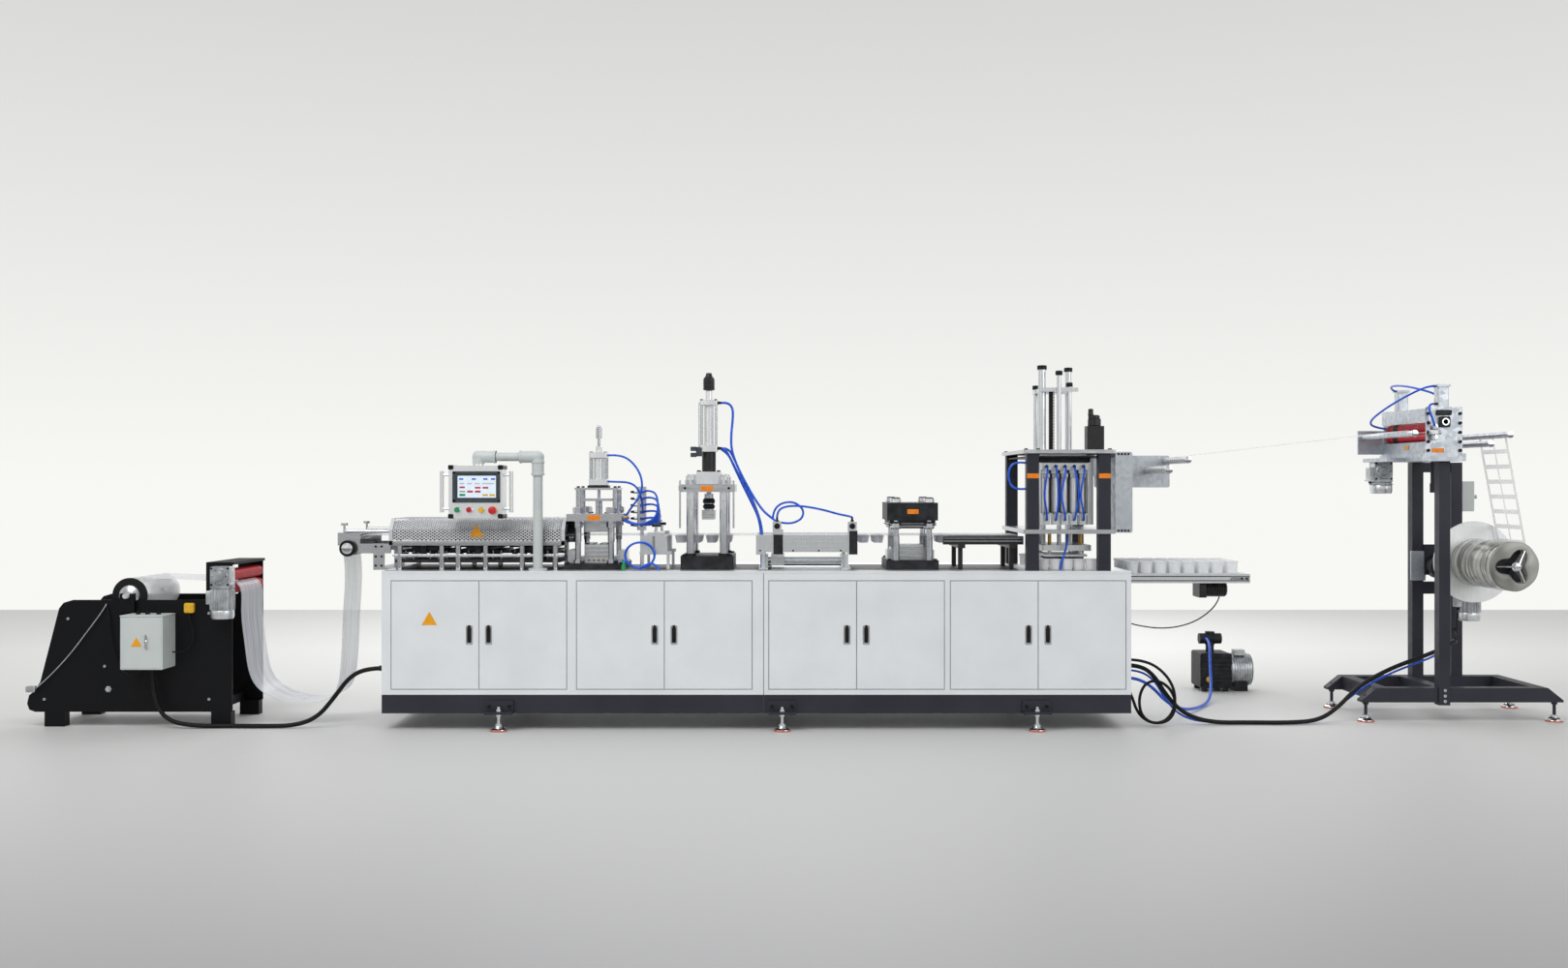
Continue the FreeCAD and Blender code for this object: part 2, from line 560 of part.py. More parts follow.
def punch_crosshead():
    plate = box((PUNCH_X - 150, PUNCH_X + 150), (STATION_Y[0] - 10, STATION_Y[1] + 10), CROSSHEAD_Z)
    holes = [rod("z", q, (1200, 1400), PUNCH_COLUMN_R - 4)
             for q in four(PUNCH_X, WEB_Y, COLUMN_DX, COLUMN_DY)]
    holes.append(rod("z", (PUNCH_X, WEB_Y), (1200, 1400), 14 + GUIDE_GAP))
    wires = []
    for x in (PUNCH_X - 146, PUNCH_X + 146):
        wires.append(rod("z", (x, STATION_Y[0] - 16), (1085, 1345), 5))
        wires.append(box((x - 8, x + 8), (STATION_Y[0] - 24, STATION_Y[0] - 10), (1290, 1316)))
    return fuse([cut(plate, holes)] + wires)


def punch_ram():
    p = (PUNCH_X, WEB_Y)
    return fuse([rod("z", p, (1270, 1400), 14), rod("z", p, (1181, 1272), 26), rod("z", p, (1215, 1240), 31),
                 box((p[0] - 35, p[0] + 35), (WEB_Y - 90, WEB_Y + 90), (1139, 1181))])


def web_guide():
    """Small clamp on legs that levels the web after the forming press."""
    pieces = []
    for a in (-775.0, -695.0):
        for y in (150.0, 530.0):
            pieces.append(box((a, a + 64), (y, y + 60), (957, WEB_Z - WEB_T)))
    for y in (150.0, 530.0):
        pieces.append(box((-779.0, -608.0), (y, y + 60), (940, 957)))
        for x in (-765.0, -625.0):
            pieces.append(box((x - 8, x + 8), (y + 22, y + 38), (TABLE_Z, 945)))
        pieces.append(rod("z", (-690.0, y + 30), (WEB_Z + 4, 1090), 8))
        pieces.append(rod("z", (-690.0, y + 30), (1090, 1104), 24))
        pieces.append(box((-735.0, -645.0), (y, y + 60), (WEB_Z, 1060)))
    for y in (150.0, 576.0):
        pieces.append(box((-735.0, -645.0), (y, y + 14), (WEB_Z - WEB_T - 2, WEB_Z + 1)))
    pieces.append(box((-715.0, -665.0), (150, 590), (1050, 1060)))
    return fuse(pieces)


def valve_manifold():
    block = soften(box((-833.0, -780.0), (560, 610), (1061, 1311)), 6, "z")
    legs = [box((-816.0, -796.0), (576, 594), (TABLE_Z, 1065))]
    ports = [rod("x", (585, 1090 + 38 * k), (-850, -833), 10) for k in range(6)]
    ports += [rod("y", (-806, 1090 + 38 * k), (544, 560), 10) for k in range(6)]
    return fuse([block] + legs + ports)


def feed_beam():
    x0, x1 = FEED_X
    low, high = FEED_BEAM_Z
    pieces = []
    for y0, y1 in ((150.0, 164.0), (576.0, 590.0)):
        pieces.append(box((x0, x1), (y0, y1), FEED_BEAM_Z))
        pieces.append(box((x0, x1), (y0 - 6, y1 + 6), (954, low)))
    for x in (x0, x1 - 52):
        pieces.append(box((x, x + 52), (144, 596), (940, 954)))
    for x in (x0 + 30, x1 - 70):
        for y in (165.0, 540.0):
            pieces.append(box((x, x + 20), (y, y + 35), (TABLE_Z, 940)))
        pieces.append(box((x - 15, x + 35), (160, 580), (TABLE_Z, TABLE_Z + 10)))
    pieces.append(box((x1 - 52, x1), (138, 150), (940, 1073)))
    pieces.append(box((-50.0, 6.0), (138, 150), (940, 1078)))
    for x in (-28.0, x1 - 28):
        pieces.append(soften(box((x - 24, x + 24), (138, 186), (1073, 1120)), 6, "z"))
        pieces.append(box((x - 24, x + 24), (150, 186), (1047, 1073)))
    return fuse(pieces)


def feed_rods():
    rods = [rod("x", (y, z), (FEED_X[0] + 50, FEED_X[1] - 70), 8) for y, z in ((250.0, 905.0), (470.0, 905.0))]
    rods.append(rod("x", (360.0, 890.0), (FEED_X[0] + 50, FEED_X[1] - 70), 7))
    ends = [box((x, x + 14), (225, 495), (867, 930)) for x in (FEED_X[0] + 50, FEED_X[1] - 84)]
    return fuse(rods + ends)


def feed_slider():
    block = box((-62.0, 11.0), (222, 498), (878, 932))
    holes = [rod("x", (y, 905.0), (-100, 60), 8 + GUIDE_GAP) for y in (250.0, 470.0)]
    holes.append(rod("x", (360.0, 890.0), (-100, 60), 7 + GUIDE_GAP))
    jaw = box((-50.0, 0.0), (340, 400), (932, 962))
    return fuse([cut(block, holes), jaw])


def cutter_head():
    y0, y1 = STATION_Y[0] + 5, STATION_Y[1] - 5
    head = soften(box((CUTTER_X - 140, CUTTER_X + 140), (y0, y1), CUTTER_HEAD_Z), 18, "z")
    under = [box((CUTTER_X - 125, CUTTER_X + 125), (y0 + 10, y1 - 10), (1112, 1126)),
             box((CUTTER_X - 70, CUTTER_X + 70), (WEB_Y - 115, WEB_Y + 115), (1080, 1112)),
             box((CUTTER_X - 130, CUTTER_X + 130), (y0 + 14, y1 - 14), (1098, 1104))]
    spots = four(CUTTER_X, WEB_Y, COLUMN_DX, COLUMN_DY)
    caps = [rod("z", p, (CUTTER_HEAD_Z[1], 1252), 23) for p in spots]
    sleeves = [rod("z", p, (1080, 1120), 26) for p in spots]
    bores = [rod("z", p, (1000, 1232), CUTTER_COLUMN_R + GUIDE_GAP) for p in spots]
    return cut(fuse([head] + under + caps + sleeves), bores)


def outfeed_rail():
    rails = []
    for y in (145.0, 545.0):
        rails.append(box((881.0, 1318.0), (y, y + 50), (995, 1040)))
    ties = [box((x, x + 40), (145, 595), (975, 995)) for x in (960.0, 1240.0)]
    legs = [box((x + 8, x + 32), (y, y + 24), (TABLE_Z, 975)) for x in (960.0, 1240.0) for y in (200.0, 520.0)]
    return fuse(rails + ties + legs)


def tower_posts():
    half = TOWER_POST_W / 2
    posts = []
    for x in TOWER_POST_XS:
        for y in TOWER_POST_YS:
            lower = box((x - half, x + half), (y - 30, y + 30), (TABLE_Z, TOWER_MID_Z[0]))
            upper = box((x - half, x + half), (y - 30, y + 30), (TOWER_MID_Z[1], TOWER_TOP_Z[0]))
            posts += [lower, upper]
    return group(posts)


def tower_plates():
    holes = [rod("z", (x, y), (1000, 1600), r + GUIDE_GAP) for x, y, r, top in LIFT_RODS]
    plates = [soften(box(TOWER_X, TOWER_Y, z), 10, "z") for z in (TOWER_MID_Z, TOWER_TOP_Z)]
    return group([cut(p, holes) for p in plates])


def tower_cover():
    shell = soften(box((TOWER_X[1], TOWER_X[1] + TOWER_COVER_OUT), (60, 330), (1062, 1500)), 12, "y")
    return shell


def tower_actuators():
    pieces = [box((1417.0, 1670.0), (180, 192), (1154, TOWER_TOP_Z[0])),
              box((1417.0, 1670.0), (150, 180), (1404, 1440)),
              box((1417.0, 1670.0), (150, 180), (1154, 1166))]
    for k in range(5):
        x = 1443.0 + 50 * k
        pieces.append(rod("z", (x, 163.0), (1154, 1375), 17))
        pieces.append(soften(box((x - 21, x + 21), (142, 184), (1103, 1156)), 4, "z"))
        pieces.append(rod("y", (x, 1422), (138, 150), 9))
    bar = box((1668.0, 1700.0), (150, 192), (1104, 1460))
    return fuse(pieces + [bar])


def tower_servo():
    pieces = [soften(box((1681.0, 1775.0), (213, 307), (TOWER_TOP_Z[1], 1646)), 10, "z"),
              rod("z", (1728.0, 260.0), (1646, 1687), 33), rod("z", (1705.0, 245.0), (1687, 1740), 14)]
    return fuse(pieces)


def pick_head():
    rods = [rod("z", (x, y), (985, top), r) for x, y, r, top in LIFT_RODS]
    caps = [rod("z", (x, y), (top, top + 24), r + 4) for x, y, r, top in LIFT_RODS]
    plate = soften(box((1430.0, 1700.0), (200, 620), (958, 990)), 6, "z")
    lower = box((1450.0, 1680.0), (220, 600), (925, 938))
    studs = [rod("z", p, (930, 960), 10) for p in four(1565.0, 410.0, 85, 150)]
    rear = box((1436.0, 1645.0), (286, 312), (1840, 1862))
    back = box((1436.0, 1645.0), (480, 572), (1840, 1862))
    link = box((1440.0, 1462.0), (286, 572), (1840, 1862))
    return fuse(rods + caps + [plate, lower] + studs + [rear, back, link])


def web_bars():
    """Cantilever bars on the tower's right that turn the waste web upwards."""
    plate = soften(box((TOWER_X[1] + 1, 2236.0), (620, 632), (1306, 1490)), 12, "y")
    bars = [rod("y", (2210.0, 1458.0), (130, 625), 17), rod("y", (2105.0, 1404.0), (130, 625), 20)]
    gusset = box((TOWER_X[1] - 60, TOWER_X[1] + 20), (600, 620), (TOWER_TOP_Z[0] - 120, TOWER_TOP_Z[0]))
    hanger = rod("z", (1990.0, 640.0), (1150, 1400), 9)
    shelf = box((1933.0, 2004.0), (560, 660), (1138, 1157))
    link = box((1980.0, 2000.0), (628, 652), (1330, 1400))
    return fuse([plate, gusset, hanger, shelf, link] + bars)


def conveyor():
    x0, x1 = CONVEYOR_X
    y0, y1 = CONVEYOR_Y
    sides = [box((x0, x1), (a, a + 14), CONVEYOR_Z) for a in (y0, y1 - 14)]
    belt = fuse([box((x0 + 20, x1 - 20), (y0 + 16, y1 - 16), (CONVEYOR_Z[0] + 8, CONVEYOR_Z[1] - 2)),
                 rod("y", (x1 - 22, (CONVEYOR_Z[0] + CONVEYOR_Z[1]) / 2 + 3), (y0 + 16, y1 - 16), 18)])
    ties = [rod("y", (x, 800.0), (y0, y1), 10) for x in (x0 + 60, (x0 + x1) / 2, x1 - 60)]
    motor = [box((2293.0, 2330.0), (y0 + 60, y0 + 200), (703, 793)),
             rod("x", (y0 + 130, 745.0), (2330, 2453), 38)]
    return fuse(sides + [belt] + ties + motor)


def cups():
    made = []
    for k in range(8):
        for j in range(5):
            x, y = CONVEYOR_X[0] + 45 + k * CUP_PITCH, CONVEYOR_Y[0] + 75 + j * CUP_PITCH
            made.append(cone(x, y, CONVEYOR_Z[1] - 2, CONVEYOR_Z[1] - 2 + CUP_H, CUP_R, CUP_R - 5))
    return group(made)


def vacuum_pump():
    x0, x1 = PUMP_X - 171, PUMP_X + 171
    y0, y1 = PUMP_Y - 110, PUMP_Y + 110
    tank = soften(box((x0, PUMP_X + 30), (y0, y1), (22, 245)), 14, "y")
    fins = [box((x0 + 15, PUMP_X + 20), (y0 - 6, y0), (40 + 26 * k, 50 + 26 * k)) for k in range(8)]
    motor = rod("x", (PUMP_Y, 130.0), (PUMP_X + 30, x1), 100)
    feet = [box((x, x + 30), (y, y + 30), (0, 24)) for x in (x0 + 15, PUMP_X - 20) for y in (y0 + 10, y1 - 40)]
    stand = box((PUMP_X + 60, PUMP_X + 140), (PUMP_Y - 80, PUMP_Y + 80), (0, 60))
    neck = rod("z", (x0 + 90, PUMP_Y), (245, 300), 26)
    cross = rod("x", (PUMP_Y, 330.0), (x0 + 20, x0 + 160), 34)
    can = rod("z", (x0 + 90, PUMP_Y), (290, 375), 30)
    return fuse([tank, motor, stand, neck, cross, can] + fins + feet)


def unwinder_frame():
    x0, x1 = UNWINDER_X
    z0, z1 = UNWINDER_Z
    nose = x0 + 45
    outline = [(x0, z0 + 45), (x0 + 12, z0 + 12), (nose, z0), (x1, z0), (x1, 884.0), (x1 - 142, 884.0),
               (x1 - 142, z1), (x0 + 250, z1), (x0 + 200, z1 - 15), (x0 + 175, z1 - 45), (x0 + 72, z0 + 165),
               (nose - 5, z0 + 115), (x0 + 10, z0 + 90)]
    y0, y1 = UNWINDER_Y
    bearing = [rod("y", (UNWINDER_NIP_X, z), (y0 - 10, y1 + 10), 10.05)
               for z in (UNWINDER_NIP_Z - NIP_R - NIP_GAP / 2, UNWINDER_NIP_Z + NIP_R + NIP_GAP / 2)]
    cradle = [rod("y", (ROLL_X, ROLL_Z), (y0 - 60, y1 + 60), 14.5),
              box((ROLL_X - 14.5, ROLL_X + 14.5), (y0 - 60, y1 + 60), (ROLL_Z, ROLL_Z + 80))]
    plates = [cut(profile(outline, a, a + PLATE_T), bearing + cradle) for a in (y0, y1 - PLATE_T)]
    ears = [cut(box((ROLL_X - 40, ROLL_X + 40), (a, a + 24), (ROLL_Z - 90, ROLL_Z + 12)), cradle)
            for a in (y0 - 24, y1)]
    ties = [box((x - 25, x + 25), (y0 + PLATE_T, y1 - PLATE_T), (z0, z0 + 50)) for x in (x0 + 120, x1 - 120)]
    ties.append(box((x1 - 142, x1 + 10), (y0, y1), (884, 898)))
    ties.append(box((x0 + 300, x0 + 350), (y0 + PLATE_T, y1 - PLATE_T), (300, 350)))
    ties.append(box((x0 + 620, x0 + 670), (y0 + PLATE_T, y1 - PLATE_T), (z0, z0 + 50)))
    feet = [box((x, x + 110), sorted((y, y + w * 60)), (0, z0)) for x in (x0 + 95, x1 - 115)
            for y, w in ((y0, 1), (y1, -1))]
    return fuse(plates + ears + ties + feet)


def film_roll():
    y0, y1 = UNWINDER_Y
    body = rod("y", (ROLL_X, ROLL_Z), (y0 + PLATE_T + 20, y1 - PLATE_T - 20), ROLL_R)
    discs = [rod("y", (ROLL_X, ROLL_Z), (a, a + 10), ROLL_R - 20)
             for a in (y0 + PLATE_T + 8, y1 - PLATE_T - 18)]
    shaft = rod("y", (ROLL_X, ROLL_Z), (y0 - 50, y1 + 50), 14)
    return fuse([body, shaft] + discs)


def nip_roller(x, z, radius, ys, shaft_ys):
    return fuse([rod("y", (x, z), ys, radius), rod("y", (x, z), shaft_ys, 10)])


def unwinder_box():
    return soften(box((-3543.0, -3316.0), (-20, UNWINDER_Y[0]), (331, 616)), 5, "y")


def gearmotor(x, y0, z, drop, radius, spigot):
    """Worm gearbox with a flanged motor hanging below it, and a spigot that reaches back to its seat."""
    seat = rod("y", (x, z), (y0 - 2, y0 + spigot), 42)
    case = soften(box((x - 52, x + 52), (y0 - 86, y0), (z - 52, z + 52)), 20, "y")
    face = rod("y", (x, z), (y0 - 96, y0 - 86), 38)
    hub = rod("y", (x, z), (y0 - 102, y0 - 96), 16)
    flange = rod("z", (x, y0 - 43), (z - 64, z - 50), radius + 6)
    body = rod("z", (x, y0 - 43), (z - drop, z - 64), radius)
    fan = rod("z", (x, y0 - 43), (z - drop - 40, z - drop), radius + 3)
    fins = [box((x - radius - 5, x + radius + 5), (y0 - 45 + 12 * k, y0 - 41 + 12 * k), (z - drop + 8, z - 72))
            for k in (-2, -1, 0, 1, 2)]
    term = box((x - radius - 22, x - radius + 12), (y0 - 75, y0 - 11), (z - drop + 40, z - drop + 110))
    return fuse([seat, case, face, hub, flange, body, fan, term] + fins)


def winder_frame():
    x0, x1 = WINDER_X
    y0, y1 = WINDER_Y
    low, high = WINDER_RAIL_Z
    wide = 70.0
    inside = box((x0 + wide, x1 - wide), (y0 + wide, y1 - wide), (low, high))
    ring = cut(box((x0, x1), (y0, y1), (low, high)), [inside])
    slope = []
    for x, way in ((x0, -1), (x1, 1)):
        wedge = [(x, low), (x, high), (x + way * 85, low + 12), (x + way * 85, low)]
        slope += [profile(wedge, y0, y0 + wide), profile(wedge, y1 - wide, y1)]
    front = box(FRONT_POST_XS, (y0 - 10, y0 + 52), (low - 15, HEAD_Z[0] - 42))
    backs = [box((a, a + BACK_POST_W), (y1 - BACK_POST_W, y1), (low, HEAD_Z[0] - 42)) for a in BACK_POST_XS]
    between = (BACK_POST_XS[0] + BACK_POST_W, BACK_POST_XS[1])
    beams = [box(between, (y1 - 60, y1 - 8), span) for span in BACK_BEAM_ZS]
    centre = box((FRONT_POST_XS[0], FRONT_POST_XS[1] + 8), (y0 + 52, y1 - wide), (low, high))
    arm = box((REEL_X - 35, REEL_X + 35), (REEL_DISC_Y + 122, y1 - 66), (REEL_Z - 40, REEL_Z + 40))
    arm_plate = box((REEL_X - 170, REEL_X + 30), (y1 - 80, y1 - 66), (REEL_Z - 90, REEL_Z + 90))
    feet = []
    for x in (x0 - 50, x1 + 50):
        for y in (y0 + 35, y1 - 35):
            feet.append(cone(x, y, 0, FOOT_PAD_H, FOOT_PAD_R, FOOT_PAD_R * 0.6))
            feet.append(rod("z", (x, y), (FOOT_PAD_H - 2, low + 40), FOOT_ROD_R))
            feet.append(rod("z", (x, y), (low - 14, low), 16))
    return fuse([ring, front, centre, arm, arm_plate] + slope + backs + beams + feet)


def winder_head():
    x0, x1 = HEAD_X
    y0, y1 = HEAD_Y
    z0, z1 = HEAD_Z
    holes = [rod("y", (WINDER_NIP_X, z), (y0 - 20, y1 + 20), 10.05)
             for z in (WINDER_NIP_Z - WINDER_NIP_R - NIP_GAP / 2, WINDER_NIP_Z + WINDER_NIP_R + NIP_GAP / 2)]
    cheeks = [cut(box((x0, x1), (a, a + 14), (z0, z1)), holes) for a in (y0, y1 - 14)]
    spans = ((z1 - COVER_HIGH_DOWN[0], z1 - COVER_HIGH_DOWN[1]), (z0, z0 + COVER_LOW_H))
    covers = [box((x0 - 8, x0), (y0, y1), span) for span in spans]
    bed = box((x0 - 20, x1 + 20), (y0, y1), (z0 - 42, z0))
    slung = box((x0 - 120, x0 - 8), (y0 + 250, y1), (z0 - 42, z0 - 20))
    tall = [soften(box((x - 30, x + 30), (y - 30, y + 30), (z1, z1 + 120)), 6, "z")
            for x, y in ((x0 + 95, y0 + 30), (x0 + 95, y1 - 30))]
    caps = [box((x - 36, x + 36), (y - 36, y + 36), (z1 + 112, z1 + 126))
            for x, y in ((x0 + 95, y0 + 30), (x0 + 95, y1 - 30))]
    back = box((BAR_LEFT[0] - 30, BAR_UPPER[0] + 40), (y1, y1 + 14), (z0 + 5, z0 + 145))
    bars = [rod("y", c, (130, y1), BAR_R) for c in (BAR_UPPER, BAR_LOWER, BAR_LEFT)]
    return fuse(cheeks + covers + [bed, slung, back] + tall + caps + bars)


def winder_reel():
    y0, y1 = REEL_ROLL_Y
    disc = rod("y", (REEL_X, REEL_Z), (REEL_DISC_Y, REEL_DISC_Y + 6), REEL_DISC_R)
    roll = cut(rod("y", (REEL_X, REEL_Z), (y0, REEL_DISC_Y), REEL_ROLL_R),
               [rod("y", (REEL_X, REEL_Z), (y0 - 10, y0 + 60), REEL_ROLL_R - 28)])
    shaft = rod("y", (REEL_X, REEL_Z), (y0 - 15, REEL_DISC_Y + 10 - FIT_GAP), 18)
    vanes = []
    for k in range(3):
        vane = box((REEL_X, REEL_X + REEL_ROLL_R - 20), (y0 + 10, y0 + 62), (REEL_Z - 4, REEL_Z + 4))
        vane.rotate(V(REEL_X, 0, REEL_Z), V(0, 1, 0), 90 + 120 * k)
        vanes.append(vane)
    return fuse([disc, roll, shaft] + vanes)


def waste_web():
    """Skeleton film: from the tower's bars to the nip, and a ladder from the winder to the reel."""
    ys = (WEB_Y - WEB_W / 2 + 5, WEB_Y + WEB_W / 2 - 5)
    t = WEB_T
    low_z, high_z = 1475.0 + FIT_GAP * 2, BAR_LEFT[1] + BAR_R + FIT_GAP * 2
    climb = profile([(2210.0, low_z), (2210.0, low_z + t), (BAR_LEFT[0], high_z + t), (BAR_LEFT[0], high_z)],
                    *ys)
    top = (BAR_UPPER[0] + BAR_R + FIT_GAP, BAR_UPPER[1] - 4)
    end = (REEL_X + REEL_ROLL_R + 6, REEL_Z + 40)
    fall = profile([top, (top[0] + t, top[1]), (end[0] + t, end[1]), end], *ys)
    rungs = 8
    step = (top[1] - end[1]) / rungs
    holes = []
    for k in range(rungs):
        low = end[1] + k * step + 12
        for y in (ys[0] + 24, WEB_Y + 6):
            holes.append(box((end[0] - 200, end[0] + 200), (y, y + WEB_W / 2 - 35), (low, low + step - 24)))
    climb_holes = []
    for k in range(14):
        x = 2240.0 + 85 * k
        for y in (ys[0] + 24, WEB_Y + 6):
            climb_holes.append(box((x, x + 65), (y, y + WEB_W / 2 - 35), (1400, 1700)))
    return group([cut(climb, climb_holes), cut(fall, holes)])


UNWINDER_CABLE = [(-3419, 95, 331), (-3419, 95, 240), (-3390, 90, 110), (-3320, 88, 36), (-3180, 80, 14),
                  (-3000, 95, 13), (-2820, 85, 13), (-2640, 92, 14), (-2520, 95, 60), (-2430, 100, 170),
                  (-2350, 104, 280), (-2250, 100, 325), (-2157, 100, 325)]
WINDER_CABLE = [(1880, 200, 330), (1960, 200, 330), (2040, 195, 280), (2110, 185, 160), (2210, 190, 60),
                (2360, 200, 14), (2560, 215, 13), (2780, 200, 13), (2960, 240, 18), (3090, 300, 80),
                (3200, 345, 175), (3330, 400, 240), (3480, 470, 290), (3640, 560, 325), (3790, 640, 360),
                (3900, 710, 395), (3964, 770, 405), (3964, 834, 405)]
PUMP_HOSE = [(1880, 300, 250), (1960, 300, 250), (2060, 330, 200), (2170, 420, 90), (2300, 560, 30),
             (2440, 760, 12), (2560, 980, 12), (2640, 1200, 60), (2680, 1380, 210), (2720, 1520, 331),
             (2720, 1615.7, 331)]


def build():
    save("base_frame", base_frame())
    save("levelling_feet", levelling_feet())
    save("cabinet_walls", cabinet_walls())
    save("cabinet_front", cabinet_front())
    save("table_top", table_top())
    count = 0
    for centre in BAY_CENTRES:
        for side in (-1, 1):
            count += 1
            save("door_%d" % count, door(centre, side))
    save("heater_cover", heater_cover())
    save("heater_stand", heater_stand())
    save("hmi_post", hmi_post())
    save("hmi_case", hmi_case())
    save("hmi_screen", hmi_screen())
    save("inlet_bracket", inlet_bracket())
    save("inlet_roller", inlet_roller())
    save("film_loop", film_loop())
    save("web_strip", web_strip())
    save("press_bases", press_bases())
    save("press_dies", press_dies())
    save("press_columns", press_columns())
    save("forming_plates", forming_plates())
    save("forming_plug", forming_plug())
    save("press_cylinders", press_cylinders())
    save("punch_crosshead", punch_crosshead())
    save("punch_ram", punch_ram())
    save("web_guide", group([web_guide(), valve_manifold()]))
    save("feed_beam", group([feed_beam(), feed_rods()]))
    save("feed_slider", feed_slider())
    save("cutter_head", cutter_head())
    save("outfeed_rail", outfeed_rail())
    save("tower_posts", tower_posts())
    save("tower_plates", tower_plates())
    save("tower_cover", tower_cover())
    save("tower_actuators", tower_actuators())
    save("tower_servo", tower_servo())
    save("pick_head", pick_head())
    save("web_bars", web_bars())
    save("conveyor", conveyor())
    save("cups", cups())
    save("vacuum_pump", vacuum_pump())
    save("unwinder_frame", unwinder_frame())
    save("unwinder_box", unwinder_box())
    save("film_roll", film_roll())
    ys = (UNWINDER_Y[0] + PLATE_T + 5, UNWINDER_Y[1] - PLATE_T - 5)
    ends = (UNWINDER_Y[0] + FIT_GAP, UNWINDER_Y[1] - FIT_GAP)
    for name, side in (("unwinder_nip_lower", -1), ("unwinder_nip_upper", 1)):
        z = UNWINDER_NIP_Z + side * (NIP_R + NIP_GAP / 2)
        save(name, nip_roller(UNWINDER_NIP_X, z, NIP_R, ys, ends))
    save("winder_frame", winder_frame())
    save("winder_head", winder_head())
    ys = (HEAD_Y[0] + 19, HEAD_Y[1] - 19)
    ends = (HEAD_Y[0] - 8, HEAD_Y[1] - 1)
    for name, side in (("winder_nip_lower", -1), ("winder_nip_upper", 1)):
        z = WINDER_NIP_Z + side * (WINDER_NIP_R + NIP_GAP / 2)
        save(name, nip_roller(WINDER_NIP_X, z, WINDER_NIP_R, ys, ends))
    save("winder_reel", winder_reel())
    save("gearmotors", group([gearmotor(UNWINDER_NIP_X, UNWINDER_Y[0] - 20, UNWINDER_NIP_Z + NIP_R, 190, 55, 20),
                              gearmotor(REEL_X, REEL_DISC_Y + 112, REEL_Z, 300, 55, 10),
                              gearmotor(3510.0, 800.0, HEAD_Z[0] - 94, 90, 55, 0)]))
    save("waste_web", waste_web())
    save("unwinder_cable", tube(UNWINDER_CABLE, CABLE_R))
    save("winder_cable", tube(WINDER_CABLE, CABLE_R))
    save("pump_hose", tube(PUMP_HOSE, HOSE_R))


build()
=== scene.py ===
"""Looks of a cup thermoforming line, laid out as a Blender add-on and run as a script."""
import math

import bmesh
import bpy
import numpy as np
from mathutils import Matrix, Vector


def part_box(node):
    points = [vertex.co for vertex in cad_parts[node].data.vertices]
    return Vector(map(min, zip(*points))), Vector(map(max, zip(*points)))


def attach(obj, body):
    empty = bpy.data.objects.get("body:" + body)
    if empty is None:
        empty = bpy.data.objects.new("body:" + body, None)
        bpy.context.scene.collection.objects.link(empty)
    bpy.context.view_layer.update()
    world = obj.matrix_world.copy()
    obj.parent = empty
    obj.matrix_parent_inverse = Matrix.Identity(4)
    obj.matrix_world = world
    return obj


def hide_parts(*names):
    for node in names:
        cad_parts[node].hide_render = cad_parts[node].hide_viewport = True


bl_info = {
    "name": "Thermoforming line",
    "version": (1, 0, 0),
    "blender": (4, 5, 0),
    "location": "View3D > Sidebar > Line",
    "description": "Dresses the packed frame of a cup thermoforming line",
    "category": "Add Mesh",
}

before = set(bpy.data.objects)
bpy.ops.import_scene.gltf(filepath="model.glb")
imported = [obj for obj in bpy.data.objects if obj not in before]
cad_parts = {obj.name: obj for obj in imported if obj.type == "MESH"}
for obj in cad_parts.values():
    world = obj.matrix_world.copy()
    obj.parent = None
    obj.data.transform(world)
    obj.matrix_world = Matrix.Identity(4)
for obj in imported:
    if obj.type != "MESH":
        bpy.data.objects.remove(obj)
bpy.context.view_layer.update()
MM = 0.001

# Camera: eye in metres and lens, which give the photograph's view on a 1619 by 1000 picture
EYE = (0.010, -8.180, 1.326)
LENS = 35.0
SENSOR = 36.0

# Places in millimetres, in the frame that the CAD nodes have.
# Cabinet: ends, front and back faces, door bays and feet
CABINET_X = (-2157.0, 1880.0)
FRONT_Y = 30.0
BACK_Y = 890.0
TABLE_Z = 857.0
BAYS = (-1633.0, -634.5, 401.0, 1379.0)
DOOR_WIDE = 468.0
DOOR_LOW, DOOR_TOP = 223.0, 801.0
DOOR_MIDDLE_Z = 512.0
FOOT_XS = (-1521.0, 0.0, 1369.0)
FOOT_YS = (0.0, 920.0)
# Presses: middle of the web, the three stations and their columns, and the tops of their bases
WEB_Y = 370.0
FORMING_X = -1028.0
PUNCH_X = -411.0
CUTTER_X = 714.0
COLUMN_DX = 91.0
COLUMN_DY = 192.0
FORMING_BASE_TOP = 889
PUNCH_BASE_TOP = 932
CUTTER_BASE_TOP = 907
STATION_Y_LOW = 150.0
# Heater: left ends of its three banks, and its two rows of legs
BANK_XS = (-2100.0, -1800.0, -1500.0)
LEG_YS = (150.0, 590.0)
# Operator panel: sides of its case, its pipe and its red stop button
PANEL_X = (-1792.0, -1502.0)
PANEL_Z = (1143.0, 1425.0)
PIPE = (-1325, 90)
STOP = (-1554, 10, 1185)
# Turn of the four bolts in the pipe's flange, in radians
FLANGE_TURN = 0.785
# Tower: its five short cylinders, and the lift rods as X, Y, top and radius
CYLINDER_XS = [1443 + 50 * k for k in range(5)]
LIFT_RODS = ((1450, 330, 1963, 27), (1453, 560, 1865, 19), (1536, 280, 1930, 20), (1597, 300, 1865, 19),
             (1628, 500, 1963, 24))
